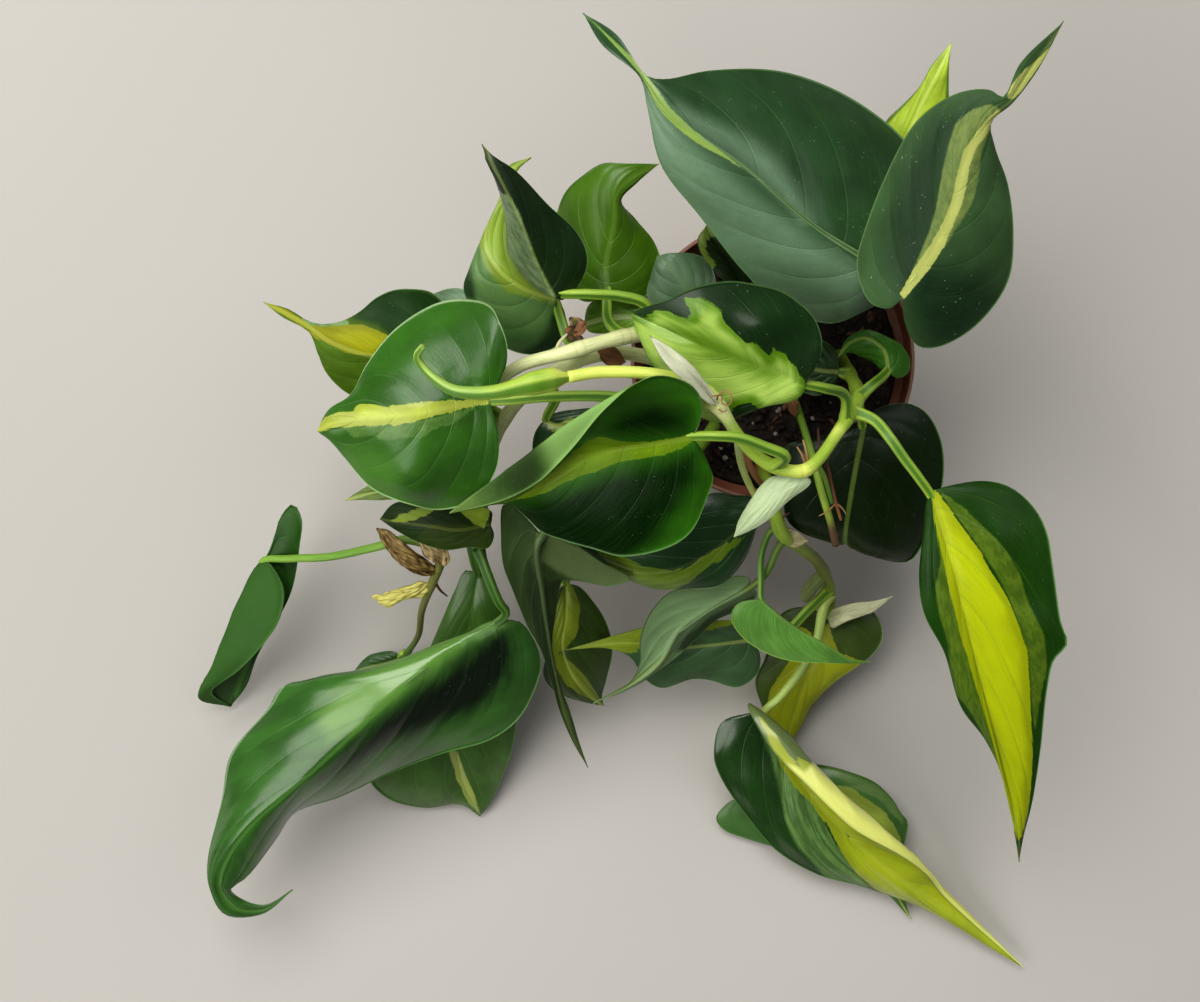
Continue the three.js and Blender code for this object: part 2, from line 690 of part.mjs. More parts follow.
// A closed tube along a curve, its radius given by a function of the share of its length.
function tube(curve, radiusAt, sides, steps, grow = 0) {
  const frames = curve.computeFrenetFrames(steps, false);
  const vertices = [];
  const triangles = [];
  for (let i = 0; i <= steps; i++) {
    const share = i / steps;
    const reach = i === 0 ? -grow : i === steps ? grow : 0;
    const centre = curve.getPointAt(share).addScaledVector(frames.tangents[i], reach);
    for (let j = 0; j < sides; j++) {
      const turn = (2 * Math.PI * j) / sides;
      const radius = radiusAt(share) + grow;
      vertices.push(
        centre.clone()
          .addScaledVector(frames.normals[i], Math.cos(turn) * radius)
          .addScaledVector(frames.binormals[i], Math.sin(turn) * radius),
      );
    }
  }
  for (let i = 0; i < steps; i++) {
    for (let j = 0; j < sides; j++) {
      const next = (j + 1) % sides;
      const [a, b] = [i * sides + j, i * sides + next];
      triangles.push([a, b, b + sides], [a, b + sides, a + sides]);
    }
  }
  const last = steps * sides;
  for (let j = 1; j < sides - 1; j++) {
    triangles.push([0, j + 1, j], [last, last + j, last + j + 1]);
  }
  return solid(vertices, triangles);
}

// A surface given its thickness: two faces split alike, joined along the open edge.
function thicken(surface, thickness) {
  const { vertices, triangles } = surface;
  const normals = vertices.map(() => new THREE.Vector3());
  for (const [a, b, c] of triangles) {
    const ab = vertices[b].clone().sub(vertices[a]);
    const ac = vertices[c].clone().sub(vertices[a]);
    const area = ab.cross(ac);
    for (const index of [a, b, c]) {
      normals[index].add(area);
    }
  }
  const count = vertices.length;
  const sides = [1, -1].flatMap((side) =>
    vertices.map((vertex, index) =>
      vertex.clone().addScaledVector(normals[index].clone().normalize(), (side * thickness) / 2),
    ),
  );
  const faces = triangles.flatMap(([a, b, c]) => [[a, b, c], [a + count, c + count, b + count]]);
  const edges = new Set(triangles.flatMap(([a, b, c]) => [`${a},${b}`, `${b},${c}`, `${c},${a}`]));
  for (const edge of edges) {
    const [from, to] = edge.split(",").map(Number);
    if (!edges.has(`${to},${from}`)) {
      faces.push([from, from + count, to + count], [from, to + count, to]);
    }
  }
  return solid(sides, faces);
}

// The lines of a blade: curves from the petiole to the tip, and where the drip tip starts on each.
function bladeLines(leaf) {
  const drip = leaf.drip ?? 1;
  const rib = leaf.rib.map(seen);
  const base = rib[0];
  const tip = rib[rib.length - 1];
  const line = (points) => {
    const curve = curveThrough(points);
    return { curve, neck: shareOf(curve, points.length - 1 - drip) };
  };
  const edge = (places) => places && line([base, ...places.map(seen), tip]);
  return {
    rib: line(rib),
    right: edge(leaf.right),
    left: edge(leaf.left),
    right_fold: edge(leaf.right_fold),
    left_fold: edge(leaf.left_fold),
  };
}

// The middle surface of a blade, in rows from base to tip and columns from left margin to right.
// Rows fan out from the base, because a heart-shaped blade spreads on both sides of its petiole.
function bladeSurface(leaf, rows, dripRows, columns) {
  const lines = bladeLines(leaf);
  const bow = leaf.bow ?? [BOW, BOW];
  const vertices = [];
  const total = rows + dripRows;
  for (let row = 0; row <= total; row++) {
    const body = Math.min(row / rows, 1);
    const drip = Math.max(row - rows, 0) / dripRows;
    const along = (line, spread) => line.neck * spread + (1 - line.neck) * drip;
    const ribShare = along(lines.rib, body * body);
    const middle = lines.rib.curve.getPointAt(ribShare);
    const ahead = lines.rib.curve.getTangentAt(ribShare);
    const edges = [lines.left, lines.right].map((line) => line.curve.getPointAt(along(line, body)));
    const up = edges[1].clone().sub(edges[0]).cross(ahead).normalize();
    for (let column = -columns; column <= columns; column++) {
      const side = column < 0 ? 0 : 1;
      const fold = side ? lines.right_fold : lines.left_fold;
      const share = Math.abs(column) / columns;
      const edge = edges[side];
      const width = edge.clone().sub(middle);
      const lift = width.clone().cross(ahead).multiplyScalar(side ? 1 : -1);
      lift.addScaledVector(up, 0.3 * width.length()).normalize();
      const halfway = fold
        ? fold.curve.getPointAt(along(fold, body))
        : middle.clone().addScaledVector(width, 0.5).addScaledVector(lift, bow[side] * width.length());
      vertices.push(
        middle.clone().multiplyScalar((1 - share) * (1 - 2 * share))
          .addScaledVector(halfway, 4 * share * (1 - share))
          .addScaledVector(edge, share * (2 * share - 1)),
      );
    }
  }
  const triangles = [];
  const across = 2 * columns + 1;
  for (let row = 0; row < total; row++) {
    for (let column = 0; column < 2 * columns; column++) {
      const a = row * across + column;
      const [b, c, d] = [a + 1, a + across, a + across + 1];
      if (column < columns) {
        triangles.push([a, b, c], [b, d, c]);
      } else {
        triangles.push([a, b, d], [a, d, c]);
      }
    }
  }
  return weld(vertices, triangles);
}

// The point of a stem nearest to a place, as a share of its length.
function nearestShare(curve, place) {
  const samples = 160;
  let best = 0;
  let least = Infinity;
  for (let i = 0; i <= samples; i++) {
    const distance = curve.getPointAt(i / samples).distanceTo(place);
    if (distance < least) {
      least = distance;
      best = i / samples;
    }
  }
  return best;
}

// Stems with a knuckle wherever a leaf or a sheath grows from them.
function growStem(name) {
  const { line, radius } = STEMS[name];
  const curve = curveThrough(line.map(seen));
  const length = curve.getLength();
  const starts = [
    ...Object.values(LEAVES[name] ?? {}).map((leaf) => leaf.petiole[0] ?? leaf.rib[0]),
    ...Object.values(SHEATHS[name] ?? {}).map((sheath) => sheath.rib[0]),
  ];
  const knuckles = starts.map((place) => nearestShare(curve, seen(place)));
  const radiusAt = (share) => {
    const plain = THREE.MathUtils.lerp(radius[0], radius[1], share);
    const nearest = Math.min(1, ...knuckles.map((knuckle) => Math.abs(knuckle - share)));
    return plain * (1 + KNUCKLE * Math.exp(-(((nearest * length) / KNUCKLE_WIDTH) ** 2)));
  };
  const steps = Math.round(length / STEM_STEP);
  return {
    curve,
    body: tube(curve, radiusAt, STEM_SIDES, steps),
    clearance: tube(curve, radiusAt, STEM_SIDES, steps, GAP),
  };
}

// A petiole from the stem to the blade, running on below the midrib as a keel that thins out.
function growPetiole(leaf, stem) {
  const rib = bladeLines(leaf).rib.curve;
  const places = leaf.petiole.map(seen);
  const start = stem.curve.getPointAt(nearestShare(stem.curve, places[0] ?? rib.getPointAt(0)));
  const keel = [0.02, KEEL_SHARE / 2, KEEL_SHARE].map((share) => {
    const place = rib.getPointAt(share);
    place.z -= BLADE / 2;
    return place;
  });
  const curve = curveThrough([start, ...places, ...keel]);
  const joint = shareOf(curve, places.length + 1);
  const radiusAt = (share) => share < joint
    ? THREE.MathUtils.lerp(PETIOLE_BASE, PETIOLE_TOP, share / joint)
    : THREE.MathUtils.lerp(PETIOLE_TOP, KEEL_END, (share - joint) / (1 - joint));
  const steps = Math.max(4, Math.round(curve.getLength() / PETIOLE_STEP));
  return tube(curve, radiusAt, PETIOLE_SIDES, steps);
}

function growLeaf(leaf, stem) {
  const [rows, dripRows, columns] = leaf.large ? [9, leaf.drip ? 3 : 2, 3] : [6, 2, 2];
  const blade = thicken(bladeSurface(leaf, rows, dripRows, columns), BLADE);
  return blade.add(growPetiole(leaf, stem)).subtract(stem.clearance);
}

function growSheath(sheath, stem) {
  return thicken(bladeSurface(sheath, 4, 1, 1), SHEATH).subtract(stem.clearance);
}

function growNewLeaf(stem) {
  const curve = curveThrough(NEW_LEAF.line.map(seen));
  const radii = NEW_LEAF.radius;
  const radiusAt = (share) => {
    const place = share * (radii.length - 1);
    const before = Math.min(Math.floor(place), radii.length - 2);
    return THREE.MathUtils.lerp(radii[before], radii[before + 1], place - before);
  };
  return tube(curve, radiusAt, STEM_SIDES, 18).subtract(stem.clearance);
}

// A solid of revolution about Z from an outline of [radius, height] that starts and ends on the axis.
function turned(outline, sides) {
  const points = outline.map(([radius, height]) => new THREE.Vector2(radius, height));
  const geometry = new THREE.LatheGeometry(points, sides).rotateX(Math.PI / 2);
  const position = geometry.getAttribute("position");
  const vertices = [];
  for (let i = 0; i < position.count; i++) {
    vertices.push(new THREE.Vector3().fromBufferAttribute(position, i));
  }
  const triangles = [];
  const index = geometry.getIndex().array;
  for (let i = 0; i < index.length; i += 3) {
    triangles.push([index[i], index[i + 1], index[i + 2]]);
  }
  return solid(vertices, triangles);
}

// The radius of the pot's outer wall below the collar, at a height.
function wallRadius(height) {
  const top = RIM_RADIUS - COLLAR_STEP - WALL;
  return THREE.MathUtils.lerp(BASE_RADIUS, top, height / (POT_HEIGHT - COLLAR_HEIGHT));
}

function makePot() {
  const collar = POT_HEIGHT - COLLAR_HEIGHT;
  const pot = turned(
    [
      [0, 0], [BASE_RADIUS - 1, 0], [BASE_RADIUS, 1], [wallRadius(collar - 2), collar - 2],
      [RIM_RADIUS - 0.6, collar], [RIM_RADIUS, POT_HEIGHT - 1.5], [RIM_RADIUS - 0.5, POT_HEIGHT],
      [RIM_RADIUS - WALL, POT_HEIGHT], [RIM_RADIUS - WALL - 0.6, collar + 1],
      [wallRadius(collar - 2) - WALL, collar - 1], [wallRadius(WALL) - WALL, WALL], [0, WALL],
    ],
    POT_SIDES,
  );
  const drill = turned([[0, -1], [DRAIN_RADIUS, -1], [DRAIN_RADIUS, 4], [0, 4]], 8);
  let drilled = pot;
  for (let i = 0; i < DRAIN_HOLES; i++) {
    const turn = (2 * Math.PI * i) / DRAIN_HOLES;
    const [x, y] = [DRAIN_RING * Math.cos(turn), DRAIN_RING * Math.sin(turn)];
    drilled = drilled.subtract(drill.translate(x, y, 0));
  }
  return drilled;
}

// A gentle, repeatable unevenness of the soil's top.
function soilHeight(x, y) {
  const waves = Math.sin(0.21 * x + 0.4) * Math.cos(0.17 * y) + 0.6 * Math.sin(0.33 * y + 0.11 * x);
  return SOIL_TOP + SOIL_BUMP * waves;
}

function makeSoil(stems) {
  const floor = WALL + GAP;
  const edge = SOIL_TOP - 4;
  const [low, high] = [floor, edge].map(
    (height) => (wallRadius(height) - WALL) * Math.cos(Math.PI / POT_SIDES) - GAP,
  );
  const vertices = [new THREE.Vector3(0, 0, floor)];
  const triangles = [];
  const rings = [[low, () => floor], [high, () => edge]];
  for (let ring = SOIL_RINGS; ring > 0; ring--) {
    rings.push([(high * ring) / SOIL_RINGS, soilHeight]);
  }
  for (const [radius, heightAt] of rings) {
    for (let side = 0; side < SOIL_SIDES; side++) {
      const turn = (2 * Math.PI * side) / SOIL_SIDES;
      const [x, y] = [radius * Math.cos(turn), radius * Math.sin(turn)];
      vertices.push(new THREE.Vector3(x, y, heightAt(x, y)));
    }
  }
  vertices.push(new THREE.Vector3(0, 0, soilHeight(0, 0)));
  const top = vertices.length - 1;
  for (let side = 0; side < SOIL_SIDES; side++) {
    const next = (side + 1) % SOIL_SIDES;
    triangles.push([0, 1 + next, 1 + side]);
    for (let ring = 0; ring < rings.length - 1; ring++) {
      const [a, b] = [1 + ring * SOIL_SIDES + side, 1 + ring * SOIL_SIDES + next];
      triangles.push([a, b, b + SOIL_SIDES], [a, b + SOIL_SIDES, a + SOIL_SIDES]);
    }
    const last = 1 + (rings.length - 1) * SOIL_SIDES;
    triangles.push([last + side, last + next, top]);
  }
  return stems.reduce((soil, stem) => soil.subtract(stem.clearance), solid(vertices, triangles));
}

function material(colour, roughness) {
  return new THREE.MeshStandardMaterial({ color: colour, roughness, metalness: 0 });
}

function meshOf(name, body, look) {
  const { vertProperties, triVerts } = body.getMesh();
  const geometry = new THREE.BufferGeometry();
  geometry.setAttribute("position", new THREE.BufferAttribute(new Float32Array(vertProperties), 3));
  geometry.setIndex(new THREE.BufferAttribute(new Uint32Array(triVerts), 1));
  geometry.computeVertexNormals();
  const mesh = new THREE.Mesh(geometry, look);
  mesh.name = name;
  return mesh;
}

const plant = new THREE.Group();
const stems = Object.fromEntries(Object.keys(STEMS).map((name) => [name, growStem(name)]));

for (const [name, stem] of Object.entries(stems)) {
  plant.add(meshOf(name, stem.body, material(STEM_COLOUR, 0.5)));
  for (const [leafName, leaf] of Object.entries(LEAVES[name] ?? {})) {
    const colour = PALE_LEAVES.includes(leafName) ? PALE_COLOUR : LEAF_COLOUR;
    plant.add(meshOf(leafName, growLeaf(leaf, stem), material(colour, 0.4)));
  }
  for (const [sheathName, sheath] of Object.entries(SHEATHS[name] ?? {})) {
    plant.add(meshOf(sheathName, growSheath(sheath, stem), material(SHEATH_COLOUR, 0.8)));
  }
}
plant.add(meshOf("new_leaf", growNewLeaf(stems.stem_main), material(PALE_COLOUR, 0.4)));

const pottedPlant = new THREE.Group();
pottedPlant.add(plant);
pottedPlant.add(meshOf("soil", makeSoil(Object.values(stems)), material(SOIL_COLOUR, 1)));
pottedPlant.add(meshOf("pot", makePot(), material(POT_COLOUR, 0.5)));

export default pottedPlant;
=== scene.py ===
"""The dressed model of a potted brasil philodendron.

Blades, petioles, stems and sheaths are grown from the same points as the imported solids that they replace.
"""

import json
import math

import bmesh
import bpy
import numpy as np
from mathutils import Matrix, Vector


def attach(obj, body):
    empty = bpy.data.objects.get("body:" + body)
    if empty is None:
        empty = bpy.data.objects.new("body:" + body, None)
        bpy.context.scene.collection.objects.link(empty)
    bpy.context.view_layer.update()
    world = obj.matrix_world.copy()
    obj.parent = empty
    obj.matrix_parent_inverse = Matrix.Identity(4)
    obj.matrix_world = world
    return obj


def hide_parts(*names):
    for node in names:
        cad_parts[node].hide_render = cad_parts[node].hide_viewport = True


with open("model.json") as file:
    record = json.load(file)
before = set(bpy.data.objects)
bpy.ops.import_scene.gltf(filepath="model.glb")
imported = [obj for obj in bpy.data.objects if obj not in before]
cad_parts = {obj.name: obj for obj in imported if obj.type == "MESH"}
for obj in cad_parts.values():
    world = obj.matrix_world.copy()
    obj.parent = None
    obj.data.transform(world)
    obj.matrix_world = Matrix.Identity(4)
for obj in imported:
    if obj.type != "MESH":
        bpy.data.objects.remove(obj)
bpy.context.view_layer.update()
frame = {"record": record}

MM = 0.001

# Less than this counts as nothing.
TINY = 1e-9

# The pot and its soil, in millimetres.
RIM_RADIUS = 52.5
POT_HEIGHT = 92
BASE_RADIUS = 36
WALL = 1.4
COLLAR_HEIGHT = 12
COLLAR_STEP = 1.8
DRAIN_HOLES = 6
DRAIN_RADIUS = 3
DRAIN_RING = 25
DRILL_DEPTH = 4
POT_SIDES = 144
HOLE_SIDES = 24
SOIL_TOP = 80
SOIL_BUMP = 1.2

# The soil's fine surface: its outer radius, how far it lies below the plain one, and its rings and sides.
SOIL_EDGE = 47.2
SOIL_SUNK = 0.4
SOIL_RINGS = 70
SOIL_SIDES = 180
SOIL_SEED = 7

# The waves that roughen it: how many, how close together, and how high.
SOIL_WAVES = 60
SOIL_WAVE_RATE = 1.1
SOIL_WAVE = 0.13

# The air between the soil's block and the pot's base and wall.
BASE_GAP = 0.3
WALL_GAP = 0.45

# Stems, petioles and blades, in millimetres. KNUCKLE, FLARE and CHANNEL are shares of a radius, KEEL_SHARE
# of the midrib, and BOW and BOW_UP of the width of a half.
KNUCKLE = 0.18
KNUCKLE_WIDTH = 5
STEM_SIDES = 20
STEM_STRIDE = 1.6
PETIOLE_BASE = 2.05
PETIOLE_TOP = 1.6
PETIOLE_SIDES = 14
PETIOLE_STRIDE = 1.8
FLARE = 0.35
FLARE_WIDTH = 3.0
CHANNEL = 0.42
KEEL_END = 0.35
KEEL_SHARE = 0.4
KEEL_DEPTHS = (1.25, 0.75, 0.3)
BLADE_HALF = 0.3
PAPER_HALF = 0.26
BOW = 0.06
BOW_UP = 0.3

# How finely a blade is cut: rows along it, rows in its drip tip, and columns in each half.
LARGE_BLADE = (60, 8, 22)
DRIPPING_BLADE = (60, 16, 22)
SMALL_BLADE = (40, 6, 15)
SHEATH_BLADE = (30, 6, 10)
SCRAP_BLADE = (16, 6, 6)

# How finely thin stalks are cut: sides, and the length of a step along them.
ROLL_FINENESS = (24, 1.2)
ROOT_FINENESS = (8, 0.7)
BUD_FINENESS = (18, 0.5)

# The channel of the rolled leaf and of the bud, and how the rolled leaf widens from its foot up to its full
# width: the share of it that it starts with, and how fast it gains the rest, as shares in a whole length.
ROLL_CHANNEL = 0.14
BUD_CHANNEL = 0.5
ROLL_FOOT = 0.62
ROLL_GAIN = 5.0

# How many lateral veins a half has, and how many spacings they sweep forward.
VEINS_LARGE = 6.5
VEINS_SMALL = 5.0
VEIN_SWEEP = 1.9

# The relief of a blade, in millimetres: the groove of the midrib and of the veins, the skin that swells
# between them, and the wave of the margin. VEIN_WIDTH is a share of the spacing, WAVE_RATE counts radians
# along the blade, and THINNING is the share of its thickness that the margin loses.
RIB_GROOVE = 0.42
RIB_WIDTH = 1.2
VEIN_GROOVE = 0.14
VEIN_WIDTH = 0.06
QUILT = 0.30
WAVE = 0.55
WAVE_RATE = 9.0
THINNING = 0.55

# How far the withered sheaths at the left crumple, and how far the others do, in millimetres.
CRUMPLED = 0.8
CRISP = 0.08

# Every place is written as [across, down, height]: across and down in a view from straight above that is
# 1200 wide and 1002 high, and height in millimetres. VIEW_MM is what one step of it spans near the leaves.
VIEW_HEIGHT = 700
VIEW_FOCUS = 1650
VIEW_CENTRE = (600, 501)
VIEW_OVER = (-63.75, -52.3)
VIEW_MM = 0.37
SENSOR = 36

# Stems, each from its rooted end to its tip, with its radius at both.
STEMS = {
    "stem_main": {
        "radius": [2.9, 2.5],
        "line": [[838, 352, 45], [838, 352, 74], [851, 376, 100], [858, 400, 120], [838, 432, 132],
            [818, 460, 139], [803, 471, 141], [775, 467, 142], [752, 452, 144], [735, 431, 148],
            [718, 406, 153], [690, 385, 158], [660, 375, 161], [600, 372, 164], [568, 377, 166]],
    },
    "stem_left_a": {
        "radius": [3.0, 1.7],
        "line": [[722, 350, 45], [720, 349, 74], [692, 338, 100], [650, 333, 121], [610, 340, 131],
            [565, 353, 137], [520, 366, 136], [488, 392, 128], [466, 432, 114], [456, 480, 92],
            [449, 515, 79], [441, 560, 70], [432, 584, 62], [422, 610, 44], [418, 636, 24],
            [406, 655, 11]],
    },
    "stem_left_b": {
        "radius": [2.9, 2.0],
        "line": [[703, 373, 45], [702, 371, 74], [664, 361, 98], [622, 353, 112], [590, 357, 121],
            [556, 371, 126], [528, 392, 124], [505, 418, 117], [490, 455, 103], [480, 500, 84],
            [476, 530, 79], [478, 548, 79]],
    },
    "stem_low": {
        "radius": [2.6, 1.8],
        "line": [[716, 424, 45], [715, 425, 78], [701, 445, 94], [682, 467, 100], [655, 492, 98],
            [612, 520, 92], [578, 544, 86], [562, 560, 80]],
    },
    "stem_front": {
        "radius": [2.7, 1.7],
        "line": [[757, 456, 45], [759, 462, 74], [768, 486, 94], [773, 508, 98], [782, 533, 90],
            [800, 547, 74], [818, 562, 60], [829, 588, 42], [828, 616, 30], [812, 660, 13], [788, 706, 8],
            [768, 752, 6]],
    },
    "stem_top": {
        "radius": [3.0, 2.4],
        "line": [[825, 306, 45], [832, 301, 82], [840, 298, 92], [852, 294, 104], [866, 287, 114]],
    },
    "stem_cut": {
        "radius": [2.0, 2.1],
        "line": [[792, 392, 45], [794, 396, 80], [801, 419, 98], [811, 452, 106], [821, 490, 109],
            [830, 520, 106], [836, 545, 101]],
    },
}

# The share of its solid's radius that a slimmer stem has, at its rooted end and at its tip.
SLIMMED = {"stem_main": (0.75, 0.8), "stem_cut": (0.7, 0.66), "stem_left_a": (1, 0.7)}

# Where a stem is swollen round the foot of a sheath: the place, the share it swells by and its half
# length in mm.
BULGES = {"stem_main": [([704, 396, 155], 0.55, 6.5)]}

